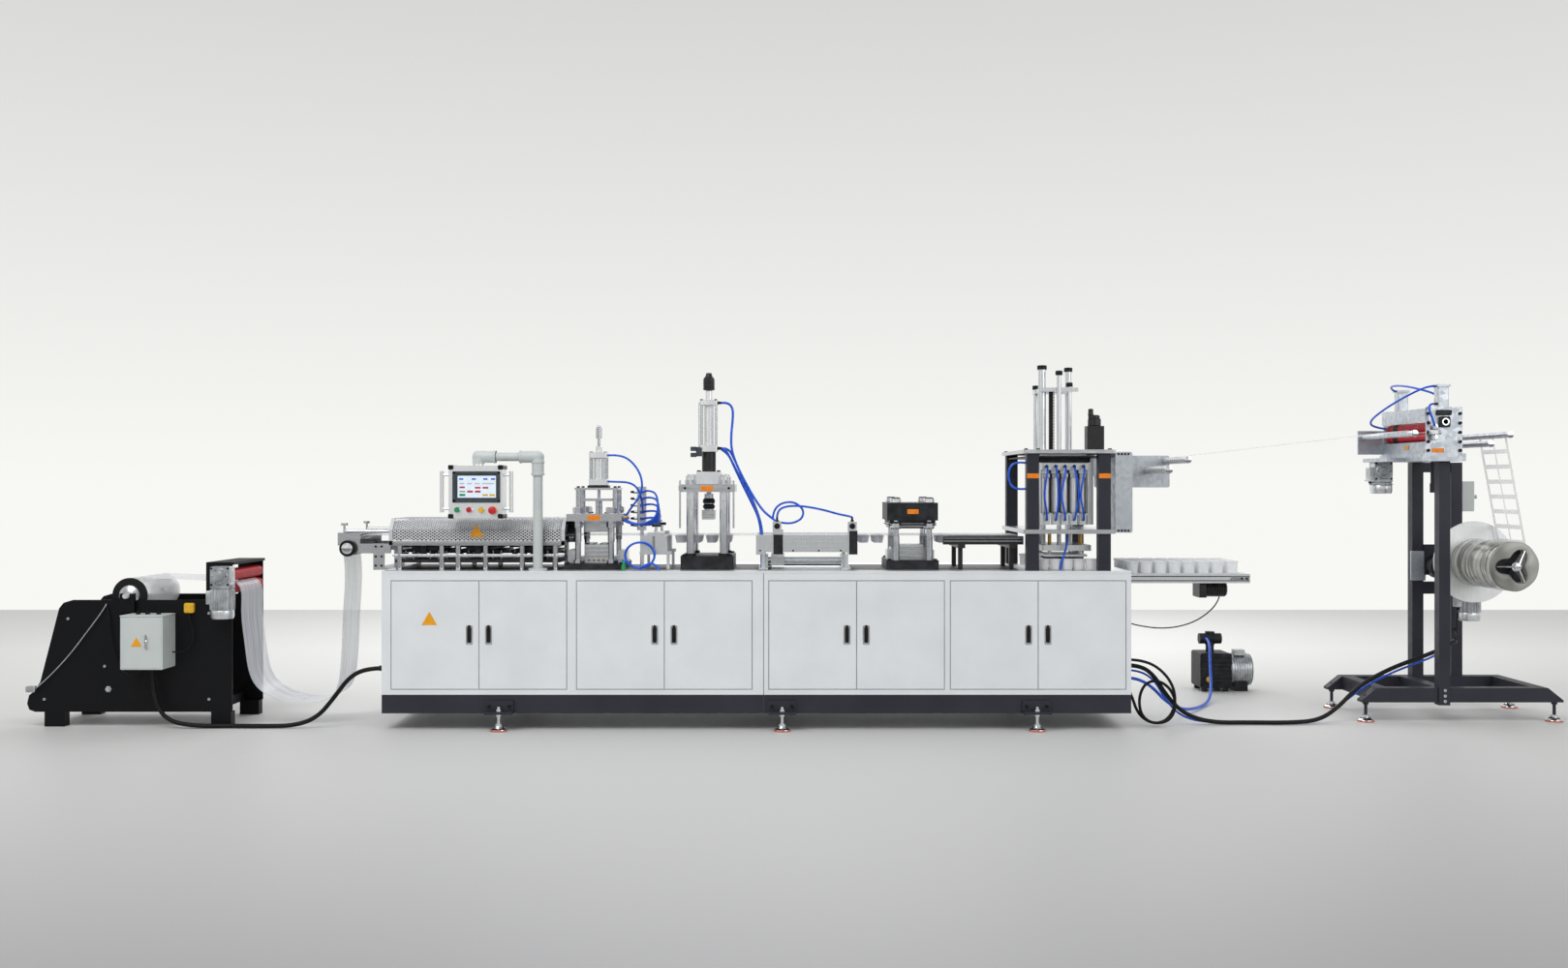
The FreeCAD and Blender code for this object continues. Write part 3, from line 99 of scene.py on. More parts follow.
# Shafts along Y as X and Z, and those along X as Y and Z
INLET_SHAFT = (-2366, 975)
ROLL_SHAFT = (-3570, 716)
ROLL_R_OUT = 96.0
NIP_X = 3610
NIPS = (("lower", 1586.5), ("upper", 1645.5))
REEL = (3960.0, 879.0)
TAPED_BARS = ((2210, 1458, 17), (2105, 1404, 20))
CONVEYOR_MOTOR = (260, 745)
PUMP_X, PUMP_Y, PUMP_Z = 2836.0, 1650.0, 130
# Winder: front of its near plate, and its feet
NEAR_PLATE_Y = 250.0
WINDER_FOOT_XS = (3259.0, 4312.0)
WINDER_FOOT_YS = (335.0, 865.0)
# Studio: the wall's distance in metres, and the lamps with place and size in metres and power in watts
WALL_Y = 7.875
LAMPS = (("key", (-3.5, -4.5, 6.5), 5.0, 330), ("fill", (6.0, -4.5, 4.0), 5.0, 130),
         ("back", (0.5, 5.5, 5.5), 7.0, 240))
LAMP_AIM = (0, 0.4, 0.9)

# Radius that closes the end of a turned shape without a doubled point
TIP = 0.01
# Stretch of a grain that runs the same every way, along X, along Z, and in lines along the web
EVEN = (1, 1, 1)
ALONG_X = (0.06, 1, 1)
ALONG_Z = (1, 1, 0.05)
WEB_LINES = (0.05, 1, 0.05)


def span(node):
    """Lowest and highest corner of a CAD node in millimetres."""
    low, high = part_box(node)
    return np.array(low) / MM, np.array(high) / MM


def linear(code, alpha=1.0):
    """A hex colour in sRGB as linear numbers."""
    parts = [int(code[k:k + 2], 16) / 255 for k in (1, 3, 5)]
    return [c / 12.92 if c <= 0.04045 else ((c + 0.055) / 1.055) ** 2.4 for c in parts] + [alpha]


def add(tree, kind, sockets, **settings):
    """Adds one node, sets its properties, and gives each socket in a dict its value or its link."""
    node = tree.nodes.new(kind)
    for key, value in settings.items():
        setattr(node, key, value)
    for socket, value in sockets.items():
        if isinstance(value, bpy.types.NodeSocket):
            tree.links.new(value, node.inputs[socket])
        else:
            node.inputs[socket].default_value = value
    return node


def shader(name, **values):
    """A new material with its Principled shader set to values, and its Object coordinates."""
    mat = bpy.data.materials.new(name)
    mat.use_nodes = True
    tree = mat.node_tree
    bsdf = tree.nodes["Principled BSDF"]
    for key, value in values.items():
        bsdf.inputs[key.replace("_", " ")].default_value = value
    return mat, tree, bsdf, add(tree, "ShaderNodeTexCoord", {}).outputs["Object"]


def grained(name, colour, shade, tone, gloss=None, relief=None, **values):
    """A material whose colour, roughness and relief each follow a noise on Object coordinates.

    Each of the three starts with its grain: size in mm, stretch along X, Y and Z, and detail. Then come, in
    tone, the range of the noise that goes from colour to shade, in gloss, such a range and the roughness at
    its two ends, and in relief, the depth in mm and the strength of the bump.
    """
    mat, tree, bsdf, place = shader(name, **values)
    noises = {}
    for grain in dict.fromkeys(part[0] for part in (tone, gloss, relief) if part):
        size, stretch, detail = grain
        scaled = add(tree, "ShaderNodeMapping", {"Vector": place, "Scale": stretch})
        made = add(tree, "ShaderNodeTexNoise", {"Vector": scaled.outputs[0], "Scale": 1 / (size * MM),
                                                "Detail": detail})
        noises[grain] = made.outputs["Fac"]
    grain, low, high = tone
    spread = add(tree, "ShaderNodeMapRange", {"Value": noises[grain], "From Min": low, "From Max": high})
    mix = add(tree, "ShaderNodeMix", {0: spread.outputs[0], 6: linear(colour), 7: linear(shade)},
              data_type="RGBA")
    tree.links.new(mix.outputs[2], bsdf.inputs["Base Color"])
    if gloss:
        grain, low, high, smooth, rough = gloss
        spread = add(tree, "ShaderNodeMapRange", {"Value": noises[grain], "From Min": low, "From Max": high,
                                                  "To Min": smooth, "To Max": rough})
        tree.links.new(spread.outputs[0], bsdf.inputs["Roughness"])
    if relief:
        grain, depth, strength = relief
        bump = add(tree, "ShaderNodeBump", {"Height": noises[grain], "Distance": depth * MM,
                                            "Strength": strength})
        tree.links.new(bump.outputs[0], bsdf.inputs["Normal"])
    return mat


def powder_coat(name, colour, shade, rough, shine=0.45):
    """Sprayed and baked powder coat: an even colour with a faint orange peel, drawn at 4 mm to show."""
    return grained(name, colour, shade, ((260, EVEN, 3), 0.35, 0.7),
                   ((60, EVEN, 3), 0.3, 0.7, rough - 0.05, rough + 0.08), ((4, EVEN, 3), 0.15, 0.25),
                   Specular_IOR_Level=shine)


def brushed(name, colour, shade, rough, stretch, grain=3.0):
    """Metal with a lay: fine scratches along one way, drawn at about 3 mm apart so that they show."""
    lay = (grain, stretch, 4)
    return grained(name, colour, shade, (lay, 0.3, 0.7), (lay, 0.3, 0.7, rough - 0.07, rough + 0.1),
                   (lay, 0.1, 0.2), Metallic=1.0)


def cast(name, colour, shade, rough, metallic=1.0):
    """Sand-cast or blackened metal: a fine grainy skin with small pits, drawn at 5 mm to show."""
    grain = (5, EVEN, 6)
    return grained(name, colour, shade, ((45, EVEN, 3), 0.35, 0.65),
                   (grain, 0.3, 0.7, rough - 0.08, rough + 0.12), (grain, 0.4, 0.35), Metallic=metallic)


def galvanised(name, colour, shade, rough=0.42):
    """Hot-dip zinc sheet: flat crystals about 25 mm across, each a little lighter or darker."""
    mat, tree, bsdf, place = shader(name, Metallic=1.0)
    cells = add(tree, "ShaderNodeTexVoronoi", {"Vector": place, "Scale": 1 / (25 * MM)})
    tone = add(tree, "ShaderNodeSeparateColor", {"Color": cells.outputs["Color"]}).outputs[0]
    mix = add(tree, "ShaderNodeMix", {0: tone, 6: linear(colour), 7: linear(shade)}, data_type="RGBA")
    tree.links.new(mix.outputs[2], bsdf.inputs["Base Color"])
    spread = add(tree, "ShaderNodeMapRange", {"Value": tone, "To Min": rough - 0.08, "To Max": rough + 0.1})
    tree.links.new(spread.outputs[0], bsdf.inputs["Roughness"])
    return mat


def film(name, colour, shade, clear, rough=0.18):
    """Extruded clear plastic film: glossy, milky where it is thick, with faint draw lines along the web."""
    return grained(name, colour, shade, ((18, WEB_LINES, 2), 0.35, 0.65), None, ((70, EVEN, 3), 2.0, 0.3),
                   Alpha=clear, Roughness=rough, IOR=1.46)


def rubber(name, colour, shade, rough):
    """Ground roller rubber: matt, with a fine tooth, drawn at 2 mm."""
    return grained(name, colour, shade, ((30, EVEN, 3), 0.3, 0.7),
                   ((12, EVEN, 3), 0.3, 0.7, rough - 0.05, rough + 0.1), ((2, EVEN, 3), 0.2, 0.3),
                   Specular_IOR_Level=0.22)


def moulded(name, colour, shade, rough, glow=0.0):
    """Injection-moulded or extruded plastic: even, with a light sheen, and lit from behind if it glows."""
    lit = {"Emission_Color": linear(colour), "Emission_Strength": glow} if glow else {}
    return grained(name, colour, shade, ((25, EVEN, 3), 0.35, 0.65),
                   ((9, EVEN, 3), 0.3, 0.7, rough - 0.04, rough + 0.08), Specular_IOR_Level=0.5, IOR=1.5,
                   **lit)


class Finishes:
    """The materials by plain name, made once the settings are there."""

    def __init__(self, s):
        # Powder coat on sheet and tube: an even, half-matt skin without any glint of metal
        self.white = powder_coat("powder_coat_white", s.cabinet_colour, "#dde1e4", 0.4)
        self.dark = powder_coat("powder_coat_graphite", s.frame_colour, "#25262e", 0.45, 0.32)
        self.black_paint = powder_coat("powder_coat_near_black", "#090a0e", "#07080b", 0.5, 0.18)
        self.grey = powder_coat("powder_coat_light_grey", "#c9cfcd", "#bfc6c5", 0.4)
        # Hot-blackened steel of the bases and small screws: dark and grainy, with a dull glint
        self.black_steel = cast("blackened_steel", "#35363a", "#232427", 0.5, 0.7)
        self.bolt = cast("black_oxide_bolt", "#1c1c1f", "#111113", 0.38, 0.6)
        # Milled and ground steel: bright grey, with the tool's fine lines along its path
        self.plate = brushed("machined_steel_plate", "#d2d4d7", "#adb0b5", 0.26, ALONG_X)
        self.ground = brushed("ground_steel_rod", "#e6e7ea", "#c2c4c9", 0.14, ALONG_Z, 2.0)
        # Anodised aluminium: paler and softer in its shine than steel, and black where it is dyed
        self.aluminium = brushed("anodised_aluminium", "#dfe2e4", "#cbcfd2", 0.32, ALONG_Z, 4.0)
        self.case = brushed("satin_aluminium_profile", "#eceeef", "#dfe1e2", 0.42, ALONG_Z, 4.0)
        self.black_alu = moulded("black_anodised_aluminium", "#17171a", "#0e0e10", 0.38)
        # Cast housings: grey with a grainy skin
        self.cast_alu = cast("cast_aluminium", "#c6c9cc", "#a2a5a9", 0.34)
        self.brass = cast("brass_fitting", "#c9a45a", "#a9843c", 0.3)
        # Zinc-coated sheet: pale flat crystals
        self.zinc = galvanised("galvanised_sheet", "#c6cbd1", "#b2b8bf")
        # Punched steel sheet of the hood: bright, with a wide soft blotch instead of a lay
        self.mesh = brushed("perforated_steel_sheet", "#e4e6e8", "#d4d6d9", 0.38, EVEN, 30.0)
        # Chrome: a clear mirror
        self.chrome = brushed("polished_chrome", "#e4e5e7", "#cfd0d3", 0.1, EVEN, 20.0)
        # Plastic film: clear when single, milky as cups, nearly opaque when wound
        self.clear = film("clear_web_film", "#e9ebf0", "#c6cad3", s.film_opacity)
        self.milky = film("milky_cup_film", "#ffffff", "#f2f4f7", 0.5, 0.22)
        self.wound = film("wound_film_roll", "#cbccc5", "#5a5b54", 0.97, 0.2)
        self.skeleton = film("skeleton_film", "#ffffff", "#f8f9fb", 0.42)
        # Rubber: matt and even, red on the nip rollers and black elsewhere
        self.red = rubber("ground_red_rubber", s.roller_colour, "#960616", 0.45)
        self.black_rubber = rubber("black_rubber", "#151517", "#0b0b0c", 0.5)
        self.cable = rubber("ribbed_cable_sleeve", "#121214", "#08080a", 0.45)
        # Extruded hose: strong blue with a light sheen
        self.hose = moulded("polyurethane_hose_blue", s.hose_colour, "#0a49c0", 0.3)
        # Moulded or printed plastic: even colours with soft highlights
        self.orange = moulded("orange_label_plate", s.plate_colour, "#e67a05", 0.4)
        self.amber = moulded("amber_label_plate", "#f2a916", "#e59a0c", 0.4)
        self.bezel = moulded("moulded_bezel", "#3b444b", "#2e363c", 0.35)
        self.green = moulded("button_green", "#1f9a5b", "#178149", 0.3)
        self.button_red = moulded("button_red", "#cf2233", "#b01626", 0.3)
        self.yellow = moulded("button_yellow", "#e9b92c", "#d7a51a", 0.3)
        self.belt = moulded("conveyor_belt", "#dfe3e2", "#cfd4d4", 0.5)
        self.foot = moulded("foot_pad_orange", "#d9602b", "#c04f1d", 0.5)
        self.gasket = moulded("grey_door_gasket", "#aeb3b8", "#a2a7ac", 0.5)
        self.pad_white = moulded("block_white", "#eeeeea", "#e2e2dc", 0.4)
        # Glass over a lit screen: smooth, and a little brighter than what is round it
        self.screen = moulded("screen_glass", "#dbe7f2", "#cfdeec", 0.15, 0.22)


# What each CAD node is finished with
NODE_FINISH = {
    "white": ("cabinet_walls", "cabinet_front", *["door_%d" % k for k in range(1, 9)]),
    "dark": ("base_frame", "tower_posts", "winder_frame"),
    "black_paint": ("unwinder_frame",),
    "grey": ("hmi_post", "unwinder_box"),
    "black_steel": ("press_bases", "cutter_head", "vacuum_pump", "heater_stand"),
    "plate": ("inlet_bracket", "forming_plates", "forming_plug", "punch_crosshead", "punch_ram",
              "feed_slider", "tower_plates"),
    "ground": ("press_columns", "levelling_feet"),
    "case": ("hmi_case", "table_top"),
    "aluminium": ("press_dies", "press_cylinders", "web_guide", "feed_beam", "tower_actuators",
                  "pick_head", "conveyor"),
    "black_alu": ("outfeed_rail", "tower_servo"),
    "cast_alu": ("gearmotors",),
    "zinc": ("tower_cover", "web_bars", "winder_head"),
    "mesh": ("heater_cover",),
    "clear": ("film_loop", "web_strip"),
    "milky": ("cups", "film_roll"),
    "wound": ("winder_reel",),
    "skeleton": ("waste_web",),
    "red": ("unwinder_nip_lower", "unwinder_nip_upper", "winder_nip_lower", "winder_nip_upper"),
    "black_rubber": ("inlet_roller",),
    "bezel": ("hmi_screen",),
    "cable": ("unwinder_cable", "winder_cable"),
    "hose": ("pump_hose",),
}


def quads(rows, cols, wrap_rows, wrap_cols):
    """Corner numbers of the faces of a grid, wrapped round where the surface closes."""
    r = np.arange(rows if wrap_rows else rows - 1)
    c = np.arange(cols if wrap_cols else cols - 1)
    r, c = (a.ravel() for a in np.meshgrid(r, c, indexing="ij"))
    up, on = (r + 1) % rows, (c + 1) % cols
    return np.stack([r * cols + c, r * cols + on, up * cols + on, up * cols + c], 1).tolist()


def surface(points, wrap_rows=False, wrap_cols=True, caps=True):
    """Mesh of a grid of points P[row, col]; caps close the first and last row."""
    rows, cols = points.shape[:2]
    faces = quads(rows, cols, wrap_rows, wrap_cols)
    if caps and not wrap_rows:
        faces += [list(range(cols))[::-1], list(range((rows - 1) * cols, rows * cols))]
    return points.reshape(-1, 3), faces


TURN = {"x": np.array([[0, 0, 1], [1, 0, 0], [0, 1, 0]]), "y": np.array([[1, 0, 0], [0, 0, 1], [0, 1, 0]]),
        "z": np.eye(3)}


def lathe(profile, centre, axis="z", sides=24):
    """Surface of revolution: each (radius, height) of the profile is a ring about the axis at centre."""
    prof = np.array(profile, float)
    t = np.linspace(0, 2 * math.pi, sides, endpoint=False)
    ring = np.stack([np.cos(t), np.sin(t), np.zeros(sides)], 1)
    pts = prof[:, :1, None] * ring[None] + prof[:, 1:2, None] * np.array([0, 0, 1.0])
    return surface(pts @ TURN[axis].T + np.array(centre, float))


def on_axis(axis, at):
    """A point on a shaft: at holds its two other coordinates, and the one along the shaft is 0."""
    return {"x": (0, at[0], at[1]), "y": (at[0], 0, at[1]), "z": (at[0], at[1], 0)}[axis]


def bar(a, b, radius, axis, at, sides=24, edge=1.0):
    """Round bar with small chamfers, from a to b on an axis; at is the centre line's place."""
    inner = radius - edge
    profile = [(inner, a), (radius, a + edge), (radius, b - edge), (inner, b)]
    return lathe(profile, on_axis(axis, at), axis, sides)


def fins(places, inner, outer, axis, at, sides):
    """Cooling fins: at each place a ring 8 mm wide, whose rim is 4 mm wide."""
    centre = on_axis(axis, at)
    return [lathe([(inner, p), (outer, p + 2), (outer, p + 6), (inner, p + 8)], centre, axis, sides)
            for p in places]


def end_plug(radius, hole, x, z):
    """Plug in the near end of a web bar: its rim stands 2.8 mm out and its face is hollow to the hole."""
    rim = radius + 2.8
    return lathe([(radius, 130), (rim, 128), (rim, 120), (hole, 118), (TIP, 118)], (x, 0, z), "y", 24)


def round_outline(wide, high, corner, steps=4):
    """Rounded rectangle about the origin, its corners as quarter circles."""
    corner = max(0.01, min(corner, wide / 2 - 0.01, high / 2 - 0.01))
    t = np.linspace(0, math.pi / 2, steps)
    pieces = []
    for k, (sx, sy) in enumerate(((1, 1), (-1, 1), (-1, -1), (1, -1))):
        a = t + k * math.pi / 2
        pieces.append(np.stack([sx * (wide / 2 - corner) + corner * np.cos(a),
                                sy * (high / 2 - corner) + corner * np.sin(a)], 1))
    return np.concatenate(pieces)


def slab(low, high, corner=2.0, edge=1.0, axis="z"):
    """Block with rounded uprights along an axis and chamfered ends: one rounded outline at four heights."""
    low, high = np.array(low, float), np.array(high, float)
    order = {"x": (1, 2, 0), "y": (0, 2, 1), "z": (0, 1, 2)}[axis]
    a, b, c = (high - low)[list(order)]
    edge = min(edge, a / 3, b / 3, c / 3)
    rings = []
    for inset, level in ((edge, 0), (0, edge), (0, c - edge), (edge, c)):
        flat = round_outline(a - 2 * inset, b - 2 * inset, corner - inset)
        rings.append(np.concatenate([flat, np.full((len(flat), 1), level)], 1))
    local = np.array(rings)
    pts = np.zeros_like(local)
    pts[..., order[0]] = local[..., 0] + (low[order[0]] + high[order[0]]) / 2
    pts[..., order[1]] = local[..., 1] + (low[order[1]] + high[order[1]]) / 2
    pts[..., order[2]] = local[..., 2] + low[order[2]]
    return surface(pts)


def extrusion(outline, xs):
    """A closed outline in Y and Z carried along X, from the first to the second of xs."""
    return surface(np.stack([np.concatenate([np.full((len(outline), 1), x), outline], 1) for x in xs]))


def triangle(x, z, reach, back, front):
    """Upright triangular plate about (x, z), its corners at reach, from y = back forwards to front."""
    turns = np.array([math.pi / 2, math.pi * 7 / 6, math.pi * 11 / 6])
    across, up = x + reach * np.cos(turns), z + reach * np.sin(turns)
    return surface(np.array([np.stack([across, np.full(3, y), up], 1) for y in (back, front)]))


def socket_bolt(x, y, z, size, axis="z", way=1):
    """Cap screw head: round, with a hollow in its top, seated at the point and rising along the axis."""
    profile = [(size, 0), (size, size * 0.85 * way), (size * 0.9, size * way), (size * 0.5, size * way),
               (size * 0.5, size * 0.5 * way), (0.001, size * 0.5 * way)]
    return lathe(profile, (x, y, z), axis, 12)


def front_bolts(xs, y, zs, size):
    """Cap screws in a front face at y, one at each x and z."""
    return [socket_bolt(x, y, z, size, "y", -1) for x in xs for z in zs]


def hex_nuts(spots, z, size, thick):
    """Six-sided nuts with chamfered corners on the (x, y) spots, from z up."""
    e = size * 0.12
    profile = [(size - e, 0), (size, e), (size, thick - e), (size - e, thick)]
    return [lathe(profile, (x, y, z), "z", 6) for x, y in spots]


def four(x, y, dx, dy):
    """The four corners dx and dy away from (x, y)."""
    return [(x + i * dx, y + j * dy) for i in (-1, 1) for j in (-1, 1)]


def fittings(spots, radius=7.0):
    """Push-in fittings: a round body with a narrower collar at each (x, y, z, axis, way)."""
    return [lathe([(radius, 0), (radius, 9 * way), (radius * 0.85, 10 * way), (radius * 0.85, 20 * way),
                   (radius * 0.6, 22 * way)], (x, y, z), axis, 12) for x, y, z, axis, way in spots]


def foot_rim(x, y):
    """Rubber rim of a levelling foot: a low ring that stands on the floor."""
    return lathe([(46, 0.4), (46.5, 3), (46, 7), (40, 7.5)], (x, y, 0), "z", 36)


def foot_disc(x, y):
    """Pressed disc of a levelling foot, rising in a curve to its nut."""
    return lathe([(45, 7), (44, 10), (36, 15), (24, 20), (20, 26), (20, 38), (10, 39)], (x, y, 0), "z", 36)


def feet(name, xs, ys):
    """The rims and discs of the levelling feet at each x and y."""
    spots = [(x, y) for x in xs for y in ys]
    piece(name + "_foot_pads", [foot_rim(x, y) for x, y in spots], FINISH.foot)
    piece(name + "_foot_discs", [foot_disc(x, y) for x, y in spots], FINISH.chrome)


def ribbed_tube(centre, levels, radius, depth, ribs):
    """Finned motor barrel: the radius is a flat-topped wave of the angle, carried up along Z."""
    t = np.linspace(0, 2 * math.pi, ribs * 8, endpoint=False)
    r = radius - depth / 2 + depth / 2 * np.tanh(3 * np.cos(ribs * t))
    low, high = levels
    rings = []
    for level, grow in ((low, -4), (low + 3, 0), (high - 3, 0), (high, -4)):
        rings.append(np.stack([(r + grow) * np.cos(t), (r + grow) * np.sin(t), np.full(len(t), level)], 1))
    return surface(np.array(rings) + np.array(centre, float))


def piece(name, parts, finish, body="line", stands_for=(), sharp=32.0, clean=True):
    """One object from several shapes in millimetres, with its finish and the body that it rides on."""
    verts, faces, base = [], [], 0
    for points, polys in parts:
        verts.append(np.asarray(points) * MM)
        faces += [[i + base for i in poly] for poly in polys]
        base += len(points)
    mesh = bpy.data.meshes.new(name)
    mesh.from_pydata(np.concatenate(verts).tolist(), [], faces)
    if clean:
        bm = bmesh.new()
        bm.from_mesh(mesh)
        bmesh.ops.remove_doubles(bm, verts=bm.verts, dist=1e-6)
        bmesh.ops.recalc_face_normals(bm, faces=bm.faces)
        bm.to_mesh(mesh)
        bm.free()
    mesh.shade_smooth()
    mesh.set_sharp_from_angle(angle=math.radians(sharp))
    mesh.materials.append(finish)
    made = bpy.data.objects.new(name, mesh)
    bpy.context.collection.objects.link(made)
    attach(made, body)
    if stands_for:
        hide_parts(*stands_for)
    return made


def walled(made, thick):
    """Gives an open sheet its thickness in millimetres, on its inner side."""
    wall = made.modifiers.new("wall", "SOLIDIFY")
    wall.thickness = thick * MM
    wall.offset = -1


def gearmotor(name, x, front, z, drop):
    """Worm gearbox and hanging finned motor, laid over the solid whose front face is 86 mm before front."""
    f = FINISH
    y = front - 43
    corners = [(i, j) for i in (-44, 44) for j in (-44, 44)]
    gearbox = [slab((x - 53.5, front - 80, z - 53.5), (x + 53.5, front - 4, z + 53.5), 24, 7, "y"),
               lathe([(46, front - 80), (46, front - 90), (43, front - 93), (30, front - 93),
                      (27, front - 97), (24, front - 102), (12, front - 102.5), (12, front - 96),
                      (TIP, front - 96)], (x, 0, z), "y", 40)]
    gearbox += [slab((x + i - 9, front - 84, z + j - 9), (x + i + 9, front - 2, z + j + 9), 6, 2, "y")
                for i, j in corners]
    gearbox.append(lathe([(52, z - 51), (64, z - 54), (64, z - 62), (58, z - 66)], (x, y, 0), "z", 40))
    piece(name + "_gearbox", gearbox, f.cast_alu)
    end = z - drop
    piece(name + "_fins", [ribbed_tube((x, y, 0), (end + 2, z - 66), 59.5, 8, 22)], f.cast_alu)
    cowl = lathe([(60, end + 6), (61.5, end + 2), (61.5, end - 30), (56, end - 40), (30, end - 42),
                  (TIP, end - 42)], (x, y, 0), "z", 40)
    piece(name + "_cowl", [cowl], f.aluminium)
    box = slab((x - 79, front - 77, end + 38), (x - 50, front - 9, min(end + 112, z - 60)), 5, 2, "x")
    piece(name + "_terminals", [box], f.cast_alu)
    gland = lathe([(11, 0), (11, -10), (7, -12), (7, -20)], (x - 66, y, end + 38), "z", 16)
    piece(name + "_gland", [gland], f.bolt)
    screws = [socket_bolt(x + i, front - 84, z + j, 6, "y", -1) for i, j in corners]
    screws += [socket_bolt(x + 36 * math.cos(a), front - 93, z + 36 * math.sin(a), 3.5, "y", -1)
               for a in np.arange(6) * math.pi / 3]
    piece(name + "_screws", screws, f.bolt)


def hose(name, points, radius, finish, stands_for=()):
    """A free hose or cable on one smooth line."""
    data = bpy.data.curves.new(name, "CURVE")
    data.dimensions = "3D"
    data.bevel_depth = radius * MM
    data.bevel_resolution = 3
    data.resolution_u = 8
    line = data.splines.new("NURBS")
    line.points.add(len(points) - 1)
    for at, p in zip(line.points, points):
        at.co = (p[0] * MM, p[1] * MM, p[2] * MM, 1)
    line.order_u = 3
    line.use_endpoint_u = True
    data.use_fill_caps = True
    data.materials.append(finish)
    made = bpy.data.objects.new(name, data)
    bpy.context.collection.objects.link(made)
    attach(made, "line")
    if stands_for:
        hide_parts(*stands_for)


class LineSettings(bpy.types.PropertyGroup):
    """Sizes and colours that a user would change."""
    cabinet_colour: bpy.props.StringProperty(name="Cabinet", description="Powder coat of the cabinet",
                                             default="#e4e8ea")
    frame_colour: bpy.props.StringProperty(name="Frames", description="Powder coat of the frames",
                                           default="#2c2d37")
    hose_colour: bpy.props.StringProperty(name="Hoses", description="Colour of the air hoses",
                                          default="#0d62e6")
    roller_colour: bpy.props.StringProperty(name="Rollers", description="Rubber of the nip rollers",
                                            default="#c40a20")
    plate_colour: bpy.props.StringProperty(name="Plates", description="Colour of the small plates",
                                           default="#f28c12")
    film_opacity: bpy.props.FloatProperty(name="Film opacity", description="How much the clear film hides",
                                          default=0.46, min=0.05, max=1.0, subtype="FACTOR")
    hose_radius: bpy.props.FloatProperty(name="Hose radius", description="Radius of an air hose",
                                         default=0.006, min=0.002, max=0.008, subtype="DISTANCE",
                                         unit="LENGTH")


FINISH = None


def settings():
    """The sizes and colours of this scene."""
    return bpy.context.scene.line_settings


class LINE_OT_stage(bpy.types.Operator):
    """Floor, backdrop, lamps and camera"""
    bl_idname = "line.stage"
    bl_label = "Stage"

    def execute(self, context):
        edge = np.array([[-40, -40, 0], [40, -40, 0], [40, WALL_Y, 0], [-40, WALL_Y, 0]]) - [0, 0, 0.0005]
        sheet = bpy.data.meshes.new("floor")
        sheet.from_pydata(edge.tolist(), [], [(0, 1, 2, 3)])
        floor = bpy.data.objects.new("floor", sheet)
        context.collection.objects.link(floor)
        mat, tree, bsdf, place = shader("studio_floor", Roughness=0.5)
        # The floor's colour is painted light fall-off: a ramp along Y from grey at the front to near white
        # at the back, darker towards the camera.
        depth = add(tree, "ShaderNodeSeparateXYZ", {"Vector": place}).outputs[1]
        along = add(tree, "ShaderNodeMapRange", {"Value": depth, "From Min": -5.5, "From Max": 4.0})
        pale = add(tree, "ShaderNodeValToRGB", {"Fac": along.outputs[0]})
        pale.color_ramp.elements[0].color = linear("#838386")
        pale.color_ramp.elements[1].color = linear("#fdfdfb")
        tree.links.new(pale.outputs[0], bsdf.inputs["Base Color"])
        sheet.materials.append(mat)
        self.light(context)
        eye = bpy.data.cameras.new("camera")
        eye.lens = LENS
        eye.sensor_width = SENSOR
        camera = bpy.data.objects.new("camera", eye)
        camera.location = EYE
        camera.rotation_euler = (math.radians(90), 0, 0)
        context.collection.objects.link(camera)
        context.scene.camera = camera
        context.scene.view_settings.view_transform = "Standard"
        return {"FINISHED"}

    def light(self, context):
        """A world that is plain grey light to the object and a pale wall to the eye, and three lamps."""
        world = bpy.data.worlds.new("studio")
        context.scene.world = world
        world.use_nodes = True
        tree = world.node_tree
        tree.nodes.clear()
        light = add(tree, "ShaderNodeBackground", {"Color": (1, 1, 1, 1), "Strength": 0.5})
        way = add(tree, "ShaderNodeTexCoord", {}).outputs["Generated"]
        up = add(tree, "ShaderNodeSeparateXYZ", {"Vector": way}).outputs[2]
        rise = add(tree, "ShaderNodeMapRange", {"Value": up, "From Min": 0.0, "From Max": 0.5})
        wall = add(tree, "ShaderNodeValToRGB", {"Fac": rise.outputs[0]})
        wall.color_ramp.elements[0].color = linear("#f8f8f5")
        wall.color_ramp.elements[1].color = linear("#bdbdbd")
        seen = add(tree, "ShaderNodeBackground", {"Color": wall.outputs[0], "Strength": 1.0})
        path = add(tree, "ShaderNodeLightPath", {}).outputs
        shown = add(tree, "ShaderNodeMath", {0: path["Is Camera Ray"], 1: path["Is Glossy Ray"]},
                    operation="MAXIMUM")
        both = add(tree, "ShaderNodeMath", {0: shown.outputs[0], 1: path["Is Transmission Ray"]},
                   operation="MAXIMUM")
        mix = add(tree, "ShaderNodeMixShader", {0: both.outputs[0], 1: light.outputs[0], 2: seen.outputs[0]})
        add(tree, "ShaderNodeOutputWorld", {"Surface": mix.outputs[0]})
        for name, place, size, power in LAMPS:
            data = bpy.data.lights.new(name, "AREA")
            data.size = size
            data.energy = power
            lamp = bpy.data.objects.new(name, data)
            lamp.location = place
            aim = Vector(LAMP_AIM) - Vector(place)
            lamp.rotation_euler = aim.to_track_quat("-Z", "Y").to_euler()
            context.collection.objects.link(lamp)


class LINE_OT_finish_nodes(bpy.types.Operator):
    """Gives each CAD node its finish"""
    bl_idname = "line.finish_nodes"
    bl_label = "Finish the frame"

    def execute(self, context):
        for finish, nodes in NODE_FINISH.items():
            for node in nodes:
                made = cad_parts[node]
                if not made.material_slots:
                    made.data.materials.append(None)
                for place in made.material_slots:
                    place.material = getattr(FINISH, finish)
        return {"FINISHED"}


